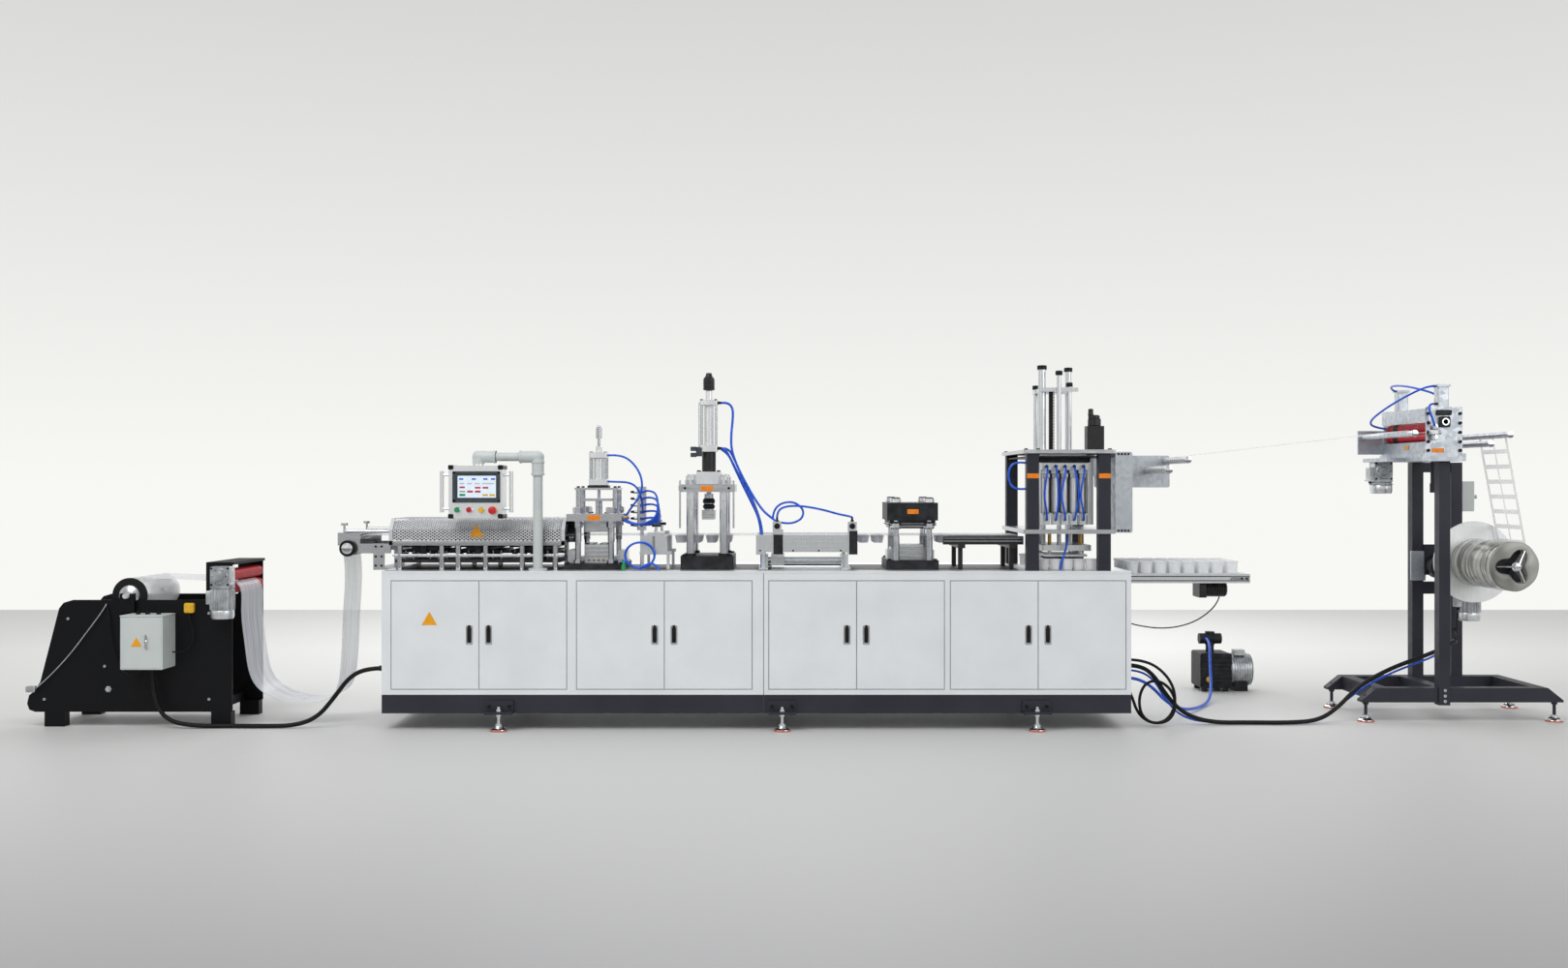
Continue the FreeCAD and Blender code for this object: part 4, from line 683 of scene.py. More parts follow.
class LINE_OT_cabinet(bpy.types.Operator):
    """Door handles, gaskets, seams, table edge, feet, louvres and back panels of the cabinet"""
    bl_idname = "line.cabinet"
    bl_label = "Cabinet trim"

    def execute(self, context):
        self.doors()
        left, right = CABINET_X
        front, back = FRONT_Y - 0.6, FRONT_Y + 0.4
        piece("table_edge", [slab((left, FRONT_Y - 1.5, 845.5), (right, FRONT_Y, 855), 1, 0.5, "y")],
              FINISH.white)
        # Thin black sheets on the table top, only under the heater and under the presses.
        dark_sheets = [slab((-2125, 150, TABLE_Z), (-60, 730, TABLE_Z + 1.2), 4, 0.4),
                 slab((360, 150, TABLE_Z), (1290, 700, TABLE_Z + 1.2), 4, 0.4)]
        piece("table_trays", dark_sheets, FINISH.black_steel)
        seams = [slab((-101.5, front, low), (-98.5, back, top), 0.5, 0.2, "y")
                 for low, top in ((190, 845), (91, 188))]
        piece("module_seam", seams, FINISH.bezel)
        line = slab((left + 1, FRONT_Y - 1, 187.5), (right - 1, FRONT_Y + 0.5, 190.5), 0.5, 0.2, "y")
        piece("base_seam", [line], FINISH.bezel)
        bolts = [socket_bolt(x + dx, face, 130, 9, "y", way) for x in FOOT_XS
                 for face, way in ((FRONT_Y - 12, -1), (BACK_Y + 12, 1)) for dx in (-55, 55)]
        piece("foot_bracket_bolts", bolts, FINISH.bolt)
        feet("cabinet", FOOT_XS, FOOT_YS)
        vents = [slab((low, y - 60, 560 + 18 * k), (low + 4, y + 60, 567 + 18 * k), 3, 1, "x")
                 for low in (left - 4, right) for y in (320.0, 600.0) for k in range(9)]
        piece("end_louvres", vents, FINISH.white)
        panels = [slab((x - 470, BACK_Y, 222), (x + 470, BACK_Y + 4, 802), 6, 1.5, "y") for x in BAYS]
        piece("back_panels", panels, FINISH.white)
        screws = [socket_bolt(x + dx, BACK_Y + 4, z, 6, "y", 1) for x in BAYS for dx in (-450, 0, 450)
                  for z in (240, 784)]
        piece("back_panel_screws", screws, FINISH.zinc)
        return {"FINISHED"}

    def doors(self):
        """A handle on each door, and grey gaskets round each pair and between its two doors."""
        gaskets = []
        near, far = FRONT_Y + 5, FRONT_Y + 9
        low, top = DOOR_LOW - 6, DOOR_TOP + 6
        z = DOOR_MIDDLE_Z
        for bay, centre in enumerate(BAYS):
            for number, x in ((2 * bay + 1, centre - 52), (2 * bay + 2, centre + 52)):
                door = "door_%d" % number
                rim = slab((x - 19, FRONT_Y - 2.5, z - 52), (x + 19, FRONT_Y + 7.5, z + 52), 8, 1.5, "y")
                lever = slab((x - 11, FRONT_Y - 8, z - 41), (x + 11, FRONT_Y - 2.5, z + 41), 5, 2, "y")
                lock = lathe([(8, 0), (8, -3), (6, -4), (TIP, -4)], (x, FRONT_Y - 2.5, z + 46), "y", 16)
                piece(door + "_handle", [rim], FINISH.chrome, door)
                piece(door + "_lever", [lever, lock], FINISH.bolt, door)
            out = DOOR_WIDE + 2.5
            gaskets += [slab((x, near, low), (x + 5, far, top), 1, 0.5, "y")
                        for x in (centre - out - 5, centre + out)]
            gaskets += [slab((centre - out, near, edge), (centre + out, far, edge + 5), 1, 0.5, "y")
                        for edge in (low, top - 5)]
            door = "door_%d" % (2 * bay + 1)
            middle = slab((centre - 3, near, DOOR_LOW), (centre + 2, far, DOOR_TOP), 1, 0.5, "y")
            piece(door + "_gasket", [middle], FINISH.gasket, door)
        piece("frame_gaskets", gaskets, FINISH.gasket)


def hood_outline(low, high, slope, inset):
    """Section of the heater hood in Y and Z, from the front hem over the sloped top to the back hem."""
    y0, z0, y1, z1 = low[1], low[2], high[1], high[2]
    return np.array([(y0 + inset, z0), (y0 + inset, z1 - slope), (y0 + slope, z1 - inset),
                     (y1 - slope, z1 - inset), (y1 - inset, z1 - slope), (y1 - inset, z0)])


# Perforated cell of the hood, in units of its width and height: a diamond hole in a cell whose cut corners
# make holes with its neighbours. First the outline, two points to a side, then the diamond's four corners.
CUT = 0.11
HOLE = 0.36
CELL = np.array([(0.5 - CUT, 0), (0.5 + CUT, 0), (1, 0.5 - CUT), (1, 0.5 + CUT), (0.5 + CUT, 1),
                 (0.5 - CUT, 1), (0, 0.5 + CUT), (0, 0.5 - CUT), (0.5, 0.5 - HOLE), (0.5 + HOLE, 0.5),
                 (0.5, 0.5 + HOLE), (0.5 - HOLE, 0.5)])
CELL_FACES = [[0, 1, 8], [2, 3, 9], [4, 5, 10], [6, 7, 11], [1, 2, 9, 8], [3, 4, 10, 9], [5, 6, 11, 10],
              [7, 0, 8, 11]]
CELL_WIDE = 23.0
CELL_HIGH = 15.0
HOOD_SLOPE = 60.0


class LINE_OT_heater(bpy.types.Operator):
    """Perforated hood over the heater, with heating banks, legs and terminals under it"""
    bl_idname = "line.heater"
    bl_label = "Heater"

    def execute(self, context):
        low, high = span("heater_cover")
        outline = hood_outline(low, high, HOOD_SLOPE, 0.0)
        columns = int((high[0] - low[0] - 36.0) / CELL_WIDE)
        start = low[0] + (high[0] - low[0] - columns * CELL_WIDE) / 2
        sheet = piece("heater_hood", [self.cells(outline, start, columns)], FINISH.mesh,
                      stands_for=("heater_cover",), sharp=25)
        walled(sheet, 1.6)
        hems = [slab((low[0], y, low[2]), (high[0], y + 4, low[2] + 26), 1, 0.5, "x")
                for y in (low[1], high[1] - 4)]
        ring = np.concatenate([outline, hood_outline(low, high, HOOD_SLOPE, 4.0)[::-1]])
        rim = start - low[0]
        hems += [extrusion(ring, (x, x + rim)) for x in (low[0], high[0] - rim)]
        piece("heater_hood_hems", hems, FINISH.mesh)
        # A dark sheet 16 to 18 mm inside the hood, from 30 mm above its hem: painted shade behind the holes,
        # so that they read dark.
        inside = (low[0], low[1], low[2] + 30)
        shade_liner = np.concatenate([hood_outline(inside, high, HOOD_SLOPE, 16.0),
                                hood_outline(inside, high, HOOD_SLOPE, 18.0)[::-1]])
        piece("heater_liner", [extrusion(shade_liner, (low[0] + 6, high[0] - 6))], FINISH.bezel)
        banks = []
        for x in BANK_XS:
            banks += [slab((x - 6, 196, 1084), (x + 276, 544, 1096), 4, 2, "z"),
                      slab((x + 4, 206, 950), (x + 266, 534, 964), 4, 2, "z")]
            banks += [slab((x + 20 + 50 * k, 170, 925), (x + 50 + 50 * k, 196, 950), 4, 2, "y")
                      for k in range(5)]
        piece("heater_banks", banks, FINISH.black_steel)
        legs = [bar(858, 990, 15, "z", (x, y)) for y in LEG_YS
                for x in (-2090.0, -1860.0, -1770.0, -1620.0, -1420.0, -1240.0)]
        legs += [slab((-2126, y - 13.5, 929), (-1194, y + 13.5, 943), 2, 1, "x") for y in LEG_YS]
        piece("heater_legs", legs, FINISH.ground)
        clips = [lathe([(5, 0), (5, 30), (3, 34), (3, 46)], (x + 30 + 45 * k, 205, 914), "z", 12)
                 for x in BANK_XS for k in range(6)]
        piece("heater_terminals", clips, FINISH.pad_white)
        return {"FINISHED"}

    def cells(self, outline, start, columns):
        """Cells in columns along X and rows along the outline: each cell's (u, v) point lies at x = u, and v
        millimetres along the outline."""
        along = np.concatenate([[0], np.cumsum(np.linalg.norm(np.diff(outline, axis=0), axis=1))])
        rows = int(along[-1] / CELL_HIGH)
        high = along[-1] / rows
        k, j = (a.ravel() for a in np.meshgrid(np.arange(columns), np.arange(rows), indexing="ij"))
        u = start + k[:, None] * CELL_WIDE + CELL[None, :, 0] * CELL_WIDE
        v = j[:, None] * high + CELL[None, :, 1] * high
        points = np.stack([u, np.interp(v, along, outline[:, 0]), np.interp(v, along, outline[:, 1])], -1)
        base = (np.arange(len(k)) * len(CELL))[:, None]
        faces = [corners for face in CELL_FACES for corners in (base + np.array(face)[None]).tolist()]
        return points.reshape(-1, 3), faces


# Blocks on the lit screen, as left, low, width and height in parts of the screen
SCREEN_BLOCKS = (
    ("blue", "hose", [(k, 0.80, 0.11, 0.07) for k in (0.03, 0.36, 0.66, 0.86)]),
    ("red", "button_red", [(0.04, 0.42, 0.14, 0.08), (0.24, 0.22, 0.15, 0.09), (0.44, 0.40, 0.15, 0.08),
                           (0.44, 0.22, 0.15, 0.09), (0.64, 0.40, 0.15, 0.08)]),
    ("green", "green", [(0.04, 0.06, 0.15, 0.10), (0.04, 0.24, 0.15, 0.05)]),
    ("yellow", "yellow", [(0.64, 0.06, 0.14, 0.09), (0.82, 0.06, 0.14, 0.09)]),
    ("pale", "grey", [(0.04, 0.60, 0.13, 0.06), (0.24, 0.60, 0.13, 0.06), (0.44, 0.60, 0.13, 0.06),
                      (0.64, 0.60, 0.30, 0.06)]),
)


class LINE_OT_panel(bpy.types.Operator):
    """Operator panel: bezel, lit screen with plain blocks, buttons, corner caps and the pipe's collars"""
    bl_idname = "line.panel"
    bl_label = "Operator panel"

    def execute(self, context):
        (x0, y, z0), (x1, _, z1) = span("hmi_screen")
        glass = slab((x0 + 26, y - 1.5, z0 + 24), (x1 - 20, y + 0.5, z1 - 22), 2, 0.4, "y")
        piece("screen_face", [glass], FINISH.screen, "hmi")
        wide, tall = x1 - x0 - 46, z1 - z0 - 46
        for name, finish, blocks in SCREEN_BLOCKS:
            made = [slab((x0 + 28 + u * wide, y - 2.1, z0 + 26 + v * tall),
                         (x0 + 28 + (u + w) * wide, y - 1.3, z0 + 26 + (v + h) * tall), 1, 0.2, "y")
                    for u, v, w, h in blocks]
            piece("screen_marks_" + name, made, getattr(FINISH, finish), "hmi")
        left, right = PANEL_X
        low, top = PANEL_Z
        caps = [slab((ax, 6, az), (bx, 134, bz), 7, 2, "y")
                for ax, bx in ((left - 3, left + 26), (right - 26, right + 3))
                for az, bz in ((low - 3, low + 22), (top - 22, top + 3))]
        piece("panel_corner_caps", caps, FINISH.bolt, "hmi")
        rim = [slab((ax, y - 4, az), (bx, y + 2, bz), 3, 1.5, "y")
               for ax, az, bx, bz in ((x0 - 2, z0 - 2, x1 + 2, z0 + 14), (x0 - 2, z1 - 12, x1 + 2, z1 + 2),
                                      (x0 - 2, z0, x0 + 16, z1), (x1 - 12, z0, x1 + 2, z1))]
        piece("panel_bezel_rim", rim, FINISH.bezel, "hmi")
        for name, x, finish in (("start", -1745.0, FINISH.green), ("stop", -1681.0, FINISH.button_red),
                                ("reset", -1616.0, FINISH.yellow)):
            collar = lathe([(17, 0), (17, -3), (14.5, -5)], (x, 10, 1187), "y", 28)
            button = lathe([(14.3, -2), (14.3, -15), (12.5, -17), (TIP, -17)], (x, 10, 1187), "y", 28)
            piece("button_%s_collar" % name, [collar], FINISH.chrome, "hmi")
            piece("button_%s" % name, [button], finish, "hmi")
        piece("stop_ring", [lathe([(22, 0), (22, -2), (19, -3)], STOP, "y", 32)], FINISH.yellow, "hmi")
        knob = lathe([(12, -2), (12, -12), (20, -16), (22, -22), (20, -28), (14, -31), (TIP, -32)],
                     STOP, "y", 32)
        piece("stop_button", [knob], FINISH.button_red, "hmi")
        px, py = PIPE
        collars = [lathe([(34, 0), (36, 2), (36, 14), (34, 16)], (px, py, z), "z", 32) for z in (1372, 1438)]
        collars += [lathe([(34, 0), (36, 2), (36, 12), (34, 14)], (x, py, 1474), "x", 32)
                    for x in (-1424, -1566)]
        piece("pipe_collars", collars, FINISH.grey)
        bolts = [socket_bolt(px + 38 * math.cos(a), py + 38 * math.sin(a), 869, 5)
                 for a in np.arange(4) * math.pi / 2 + FLANGE_TURN]
        piece("post_flange_bolts", bolts, FINISH.zinc)
        return {"FINISHED"}


class LINE_OT_cylinders(bpy.types.Operator):
    """Air cylinders of the forming and the punch press: end blocks, round barrels and tie rods"""
    bl_idname = "line.cylinders"
    bl_label = "Press cylinders"

    def execute(self, context):
        ends, barrels, rods = [], [], []
        # Middle, heights of the end blocks, half their width, barrel radius, rod spacing, nose radius, top
        for x, low_end, high_end, half, radius, tie, nose, top in (
                (FORMING_X, (1318, 1353), (1471, 1501), 51, 35, 43, 18, 1536),
                (PUNCH_X, (1506, 1544), (1766, 1793), 49, 29, 41, 19, 1850)):
            ends += [slab((x - half, WEB_Y - half, z0), (x + half, WEB_Y + half, z1), 9, 2)
                     for z0, z1 in (low_end, high_end)]
            barrels.append(bar(low_end[1], high_end[0], radius, "z", (x, WEB_Y), 48))
            barrels.append(bar(high_end[1], top, nose, "z", (x, WEB_Y), 32, 2.0))
            rods += [bar(low_end[1], high_end[0], 5.5, "z", p, 16) for p in four(x, WEB_Y, tie, tie)]
            rods += hex_nuts(four(x, WEB_Y, tie - 4, tie - 4), high_end[1], 9, 7)
        ends.append(slab((PUNCH_X - 67, WEB_Y - 90, 1324.1), (PUNCH_X + 67, WEB_Y + 90, 1394), 5, 2))
        piece("press_cylinder_ends", ends, FINISH.case,
              stands_for=("press_cylinders",))
        piece("press_cylinder_barrels", barrels, FINISH.case)
        piece("press_cylinder_tie_rods", rods, FINISH.plate)
        base_bolts = [socket_bolt(px, py, top, 9) for x, top, dx in ((PUNCH_X, PUNCH_BASE_TOP, 128),
                                                                     (CUTTER_X, CUTTER_BASE_TOP, 126),
                                                                     (FORMING_X, FORMING_BASE_TOP, 145))
                      for px, py in four(x, WEB_Y, dx, 200)]
        piece("base_bolts", base_bolts, FINISH.bolt)
        return {"FINISHED"}


class LINE_OT_forming(bpy.types.Operator):
    """Nuts, sleeves, bolts, cup tool and fittings of the forming press"""
    bl_idname = "line.forming"
    bl_label = "Forming press"

    def execute(self, context):
        f = FINISH
        x = FORMING_X
        columns = four(x, WEB_Y, COLUMN_DX, COLUMN_DY)
        nuts = hex_nuts(columns, 1164, 30, 34) + hex_nuts(columns, 1088, 27, 30)
        nuts += hex_nuts(columns, FORMING_BASE_TOP, 25, 20)
        piece("forming_nuts", nuts, f.plate)
        piece("forming_sleeves", [bar(1010, 1086, 19, "z", p) for p in columns], f.cast_alu)
        bolts = [socket_bolt(px, py, 1305, 9) for px, py in four(x, WEB_Y, 102, 100)]
        bolts += [socket_bolt(px, py, 1162, 7) for px, py in four(x, WEB_Y, 45, 60)]
        piece("forming_bolts", bolts, f.bolt)
        spacer = slab((x - 58, WEB_Y - 58, 1305.2), (x + 58, WEB_Y + 58, 1318), 6, 1.5)
        piece("forming_cylinder_pad", [spacer], f.black_steel)
        tool = [bar(990, 998, 26, "z", p, 28) for p in four(x, WEB_Y, 38, 50)]
        tool += [slab((x - 64, 254, z), (x + 64, 261, z + 14), 2, 1, "y") for z in (920, 942, 964)]
        piece("forming_cups_tool", tool, f.ground)
        water = fittings([(x - 40 + 26 * k, 259, 905, "y", -1) for k in range(4)], 6)
        water += fittings([(x + 150, 200 + 40 * k, 1142, "x", 1) for k in range(4)], 6)
        piece("forming_fittings", water, f.brass)
        silencer = lathe([(9, 858), (13, 861), (13, 880), (9, 884), (9, 902), (6, 906), (TIP, 906)],
                         (-862, 112, 0), "z", 24)
        piece("exhaust_silencer", [silencer], f.green)
        return {"FINISHED"}


class LINE_OT_punch(bpy.types.Operator):
    """Nuts, collars, black tubes, switches and coupling of the punch press"""
    bl_idname = "line.punch"
    bl_label = "Punch press"

    def execute(self, context):
        f = FINISH
        x = PUNCH_X
        axis = (x, WEB_Y)
        columns = four(x, WEB_Y, COLUMN_DX, COLUMN_DY)
        piece("punch_nuts", hex_nuts(columns, 1324, 30, 26) + hex_nuts(columns, 1350, 27, 20), f.plate)
        piece("punch_collars", [bar(PUNCH_BASE_TOP, 946, 30, "z", p) for p in columns], f.black_steel)
        tubes = [bar(1395, 1505, 39, "z", axis, 40), bar(1852, 1917, 31, "z", axis, 40),
                 lathe([(31, 1917), (20, 1930), (15, 1946), (15, 1948), (TIP, 1948)],
                       (x, WEB_Y, 0), "z", 32)]
        tubes += fins((1856, 1870, 1884, 1898), 31, 33.5, "z", axis, 32)
        piece("punch_black_tubes", tubes, f.black_alu)
        screws = [socket_bolt(px, py, 1793, 7) for px, py in four(x, WEB_Y, 40, 40)]
        screws += [socket_bolt(px, py, 1394, 8) for px, py in four(x, WEB_Y, 55, 76)]
        screws += front_bolts((x - 120, x + 120), STATION_Y_LOW - 10, (1303,), 7)
        piece("punch_screws", screws, f.bolt)
        ports = [(x + 50, WEB_Y - 20, 1780, "x", 1), (x + 50, WEB_Y - 20, 1526, "x", 1),
                 (x - 50, WEB_Y - 20, 1526, "x", -1), (x + 50, WEB_Y + 20, 1526, "x", 1)]
        piece("punch_ports", fittings(ports, 9), f.bolt)
        switches = [slab((x - 100, WEB_Y - 60, z), (x - 66, WEB_Y - 34, z + 24), 4, 2, "y")
                    for z in (1476, 1510)]
        switches.append(slab((x - 70, WEB_Y - 54, 1480), (x - 37, WEB_Y - 40, 1530), 2, 1, "y"))
        piece("punch_switches", switches, f.bezel)
        rail = slab((x - 56, WEB_Y - 46, 1520), (x - 50, WEB_Y - 38, 1780), 2, 1)
        piece("punch_switch_rail", [rail], f.plate)
        block = slab((x - 34, WEB_Y - 88, 1128), (x + 34, WEB_Y + 88, 1138.5), 3, 1)
        piece("punch_block", [block], f.pad_white, "punch_ram")
        joint = lathe([(27, 1186), (34, 1196), (34, 1204), (27, 1212), (34, 1222), (34, 1236), (27, 1246)],
                      (x, WEB_Y, 0), "z", 32)
        piece("punch_coupling", [joint], f.black_steel, "punch_ram")
        return {"FINISHED"}


class LINE_OT_cutter(bpy.types.Operator):
    """Column caps, layers, springs and die steps of the cutting press"""
    bl_idname = "line.cutter"
    bl_label = "Cutting press"

    def execute(self, context):
        f = FINISH
        x = CUTTER_X
        columns = four(x, WEB_Y, COLUMN_DX, COLUMN_DY)
        caps = [lathe([(25, 1223), (29, 1225), (29, 1244), (26, 1248), (14, 1248.5), (TIP, 1248.5)],
                      (px, py, 0), "z", 28) for px, py in columns]
        piece("cutter_caps", caps, f.chrome, "cutter_head")
        screws = [lathe([(14, 1247), (19, 1247.5), (19, 1253), (12, 1253.4), (TIP, 1253.4)],
                        (px, py, 0), "z", 24) for px, py in columns]
        piece("cutter_cap_screws", screws, f.bolt, "cutter_head")
        layers = [slab((x - 132, 176, 1106), (x + 132, 564, 1111), 4, 1),
                  slab((x - 100, 190, 1090), (x + 100, 550, 1098), 4, 1)]
        piece("cutter_layers", layers, f.plate, "cutter_head")
        piece("cutter_nuts", hex_nuts(columns, 1083, 31, 28), f.ground, "cutter_head")
        springs = [slab((x - 90 + 62 * k, 168, 1112), (x - 58 + 62 * k, 176, 1124), 2, 1, "y")
                   for k in range(3)]
        piece("cutter_springs", springs, f.foot, "cutter_head")
        piece("cutter_sleeves", [bar(CUTTER_BASE_TOP, 1040, 19.5, "z", p) for p in columns], f.cast_alu)
        steps = [slab((x - 64, 250, 915 + 24 * k), (x + 64, 259, 930 + 24 * k), 2, 1, "y") for k in range(3)]
        steps.append(slab((x - 110, 286, 960), (x + 110, 454, 975), 5, 2))
        piece("cutter_die_steps", steps, f.plate)
        return {"FINISHED"}


# Plain plates and triangles: name, lowest and highest corner, finish and body of each plate
TAGS = (
    ("forming_plate_tag", (FORMING_X - 34, 133.6, 1128), (FORMING_X + 34, 135.1, 1156), "orange", "line"),
    ("punch_tag", (PUNCH_X - 34, 138.4, 1288), (PUNCH_X + 34, 139.9, 1316), "orange", "line"),
    ("cutter_tag", (CUTTER_X - 30, 152.6, 1162), (CUTTER_X + 32, 154.5, 1188), "orange", "cutter_head"),
    ("tower_tag_left", (1322, 48.4, 1357), (1386, 49.8, 1383), "orange", "line"),
    ("tower_tag_right", (1710, 48.4, 1357), (1774, 49.8, 1383), "orange", "line"),
    ("winder_tag", (3592, 248.2, 1500), (3660, 249.8, 1524), "orange", "line"),
)


class LINE_OT_plates(bpy.types.Operator):
    """Small bare plates and triangles on the stations, the doors and the unwinder's box"""
    bl_idname = "line.plates"
    bl_label = "Bare plates"

    def execute(self, context):
        for name, low, high, finish, body in TAGS:
            piece(name, [slab(low, high, 3.0, 0.4, "y")], getattr(FINISH, finish), body)
        piece("winder_tag_left", [slab((3553, 470, 1520), (3554.8, 520, 1545), 3, 0.4, "x")], FINISH.amber)
        low, _ = span("unwinder_box")
        piece("box_triangle", [triangle(low[0] + 88, 472, 34, low[1] - 3.2, low[1] - 4.2)], FINISH.amber)
        on_door = triangle(-1900, 590, 48, FRONT_Y - 0.1, FRONT_Y - 1.2)
        piece("door_triangle", [on_door], FINISH.amber, "door_1")
        piece("hood_triangle", [triangle(-1666, 1060, 46, 129.4, 128.3)], FINISH.amber)
        return {"FINISHED"}


class LINE_OT_feed(bpy.types.Operator):
    """Inlet wheel, beam lines, ports, spindles and bolts of the feed unit, and the web guide's fittings"""
    bl_idname = "line.feed"
    bl_label = "Feed unit"

    def execute(self, context):
        f = FINISH
        lines = [slab((-85, 147.6, z - 1.5), (355, 150.3, z + 1.5), 1, 0.4, "x")
                 for z in (985.0, 1009.0, 1033.0)]
        piece("feed_beam_lines", lines, f.aluminium)
        piece("feed_band", [slab((-48, 134.5, 942), (4, 138.2, 1050), 2, 1, "y"),
                            slab((366, 134.5, 942), (411, 138.2, 1070), 2, 1, "y")], f.black_steel)
        ports = []
        for x in (-28.0, 383.0):
            ports.append(lathe([(16, 0), (16, -6), (12, -8), (12, -10)], (x, 138, 1096), "y", 24))
            ports.append(lathe([(9, 0), (9, 8), (6, 10), (6, 24)], (x, 162, 1120), "z", 16))
        piece("feed_ports", ports, f.bolt)
        bolts = front_bolts((365, 400), 144, (965, 1000, 1040), 5)
        bolts += front_bolts((-120, 60, 200, 320), 144, (962,), 5)
        piece("feed_bolts", bolts, f.bolt)
        piece("feed_spindles", [bar(-93, 325, 5, "x", (y, 880)) for y in (250, 470)], f.bolt)
        pads = [slab((-60, 215, 924), (9, 245, 936), 3, 1), slab((-60, 470, 924), (9, 505, 936), 3, 1)]
        piece("feed_slider_pads", pads, f.pad_white, "feed_slider")
        knobs = [lathe([(8, 1090), (24, 1092), (26, 1098), (24, 1106), (10, 1108), (TIP, 1108)],
                       (-690, y, 0), "z", 28) for y in (180.0, 560.0)]
        piece("guide_knobs", knobs, f.bolt)
        ports = [(-850, 585, 1090 + 38 * k, "x", -1) for k in range(6)]
        ports += [(-806, 544, 1090 + 38 * k, "y", -1) for k in range(6)]
        piece("manifold_fittings", fittings(ports, 8), f.bolt)
        wheel = on_axis("y", INLET_SHAFT)
        face = lathe([(30, 112), (30, 106), (22, 104), (22, 100), (14, 99), (TIP, 99)], wheel, "y", 32)
        piece("inlet_wheel_face", [face], f.chrome, "inlet_roller")
        rim = lathe([(43, 134), (44.5, 130), (44.5, 114), (41, 111), (33, 111.5)], wheel, "y", 48)
        piece("inlet_wheel_rim", [rim], f.black_rubber, "inlet_roller")
        piece("inlet_bolts", front_bolts((-2218, -2186), 140, (880, 930, 985), 6), f.bolt)
        lines = [slab((885, 143.8, low), (1314, 145.2, top), 1, 0.3, "x")
                 for low, top in ((1012, 1016), (1028, 1031))]
        piece("outfeed_lines", lines, f.plate)
        return {"FINISHED"}


class LINE_OT_tower(bpy.types.Operator):
    """Stacking tower: cylinders, lift rack and rod caps, valves, suction cups, bolts and web bars"""
    bl_idname = "line.tower"
    bl_label = "Stacking tower"

    def execute(self, context):
        f = FINISH
        caps = [lathe([(r - 3, top), (r, top + 3), (r, top + 22), (r - 3, top + 25), (TIP, top + 25)],
                      (x, y, 0), "z", 28) for x, y, top, r in LIFT_RODS]
        piece("lift_rod_caps", caps, f.bolt, "pick_head")
        rack = [slab((1500, 330, 1520 + 8 * k), (1520, 352, 1524.5 + 8 * k), 1, 0.5, "x") for k in range(42)]
        rack.append(slab((1492, 336, 1512.1), (1512, 360, 1865), 2, 1))
        piece("lift_rack", rack, f.black_steel)
        valves = fittings([(x, 138, 1422, "y", -1) for x in CYLINDER_XS], 9)
        valves += fittings([(x, 142, 1130, "y", -1) for x in CYLINDER_XS], 6)
        piece("tower_valves", valves, f.bolt)
        ends = [lathe([(17, 1160), (20, 1162), (20, 1172), (17, 1174)], (x, 163, 0), "z", 24)
                for x in CYLINDER_XS]
        ends += [slab((x - 20, 144, 1360), (x + 20, 182, 1384), 4, 1.5) for x in CYLINDER_XS]
        piece("tower_cylinder_caps", ends, f.cast_alu)
        piece("tower_barrels", [bar(1175, 1359, 18.2, "z", (x, 163), 32) for x in CYLINDER_XS], f.case)
        # Black strips behind the cylinders, in the gaps between them: painted shade between the parts.
        gap_shade_strips = [slab((x + 18.5, 176, 1170), (x + 31.5, 179.9, 1402), 2, 0.5, "y") for x in CYLINDER_XS[:-1]]
        piece("tower_gaps", gap_shade_strips, f.black_alu)
        bolts = [socket_bolt(x, y, 1512, 7) for x in (1321, 1387, 1709, 1775) for y in (60, 100, 810, 850)]
        bolts += [socket_bolt(x, y, 1080, 7) for x in (1330, 1378, 1718, 1766) for y in (70, 95)]
        bolts += front_bolts((1818, 1836, 1854, 1872), 60, (1074, 1488), 6)
        piece("tower_bolts", bolts, f.bolt)
        under = [slab((1330, 60, 1470), (1780, 850, 1478), 6, 2),
                 slab((1400, 130, 1444), (1680, 240, 1470), 4, 2)]
        piece("tower_under_plate", under, f.black_steel)
        studs = [bar(985, 1055, 10, "z", p) for p in four(1565, 410, 85, 150)]
        piece("pick_studs", studs, f.brass, "pick_head")
        suction = [lathe([(8, 925), (14, 916), (16, 906), (15, 904), (TIP, 908)], (x, y, 0), "z", 16)
                   for x in (1500, 1565, 1630) for y in (250, 330, 410, 490, 570)]
        piece("suction_cups", suction, f.black_rubber, "pick_head")
        servo = [lathe([(33, 1646), (36, 1650), (36, 1684), (30, 1690), (30, 1702), (22, 1708), (TIP, 1708)],
                       (1728, 260, 0), "z", 32),
                 lathe([(14, 1700), (16, 1712), (11, 1726), (12, 1738), (8, 1742), (TIP, 1742)],
                       (1705, 245, 0), "z", 20)]
        piece("servo_cap", servo, f.black_alu)
        plugs = [end_plug(radius + 0.2, hole, x, z) for (x, z, radius), hole in zip(TAPED_BARS, (12, 14))]
        piece("web_bar_ends", plugs, f.chrome)
        wound = piece("bar_tape", [self.tape(*at) for at in TAPED_BARS], f.pad_white, clean=False)
        walled(wound, 1.0)
        return {"FINISHED"}

    def tape(self, x, z, radius):
        """Tape 14 mm wide wound in nine turns round a bar: a helix 1 mm off it, as two edges 14 mm apart."""
        t = np.linspace(0, 9 * 2 * math.pi, 400)
        y = 140 + t / t[-1] * 440
        strip = np.stack([np.stack([x + (radius + 1) * np.cos(t), y + d, z + (radius + 1) * np.sin(t)], 1)
                          for d in (-7.0, 7.0)])
        return strip.reshape(-1, 3), quads(2, len(t), False, False)


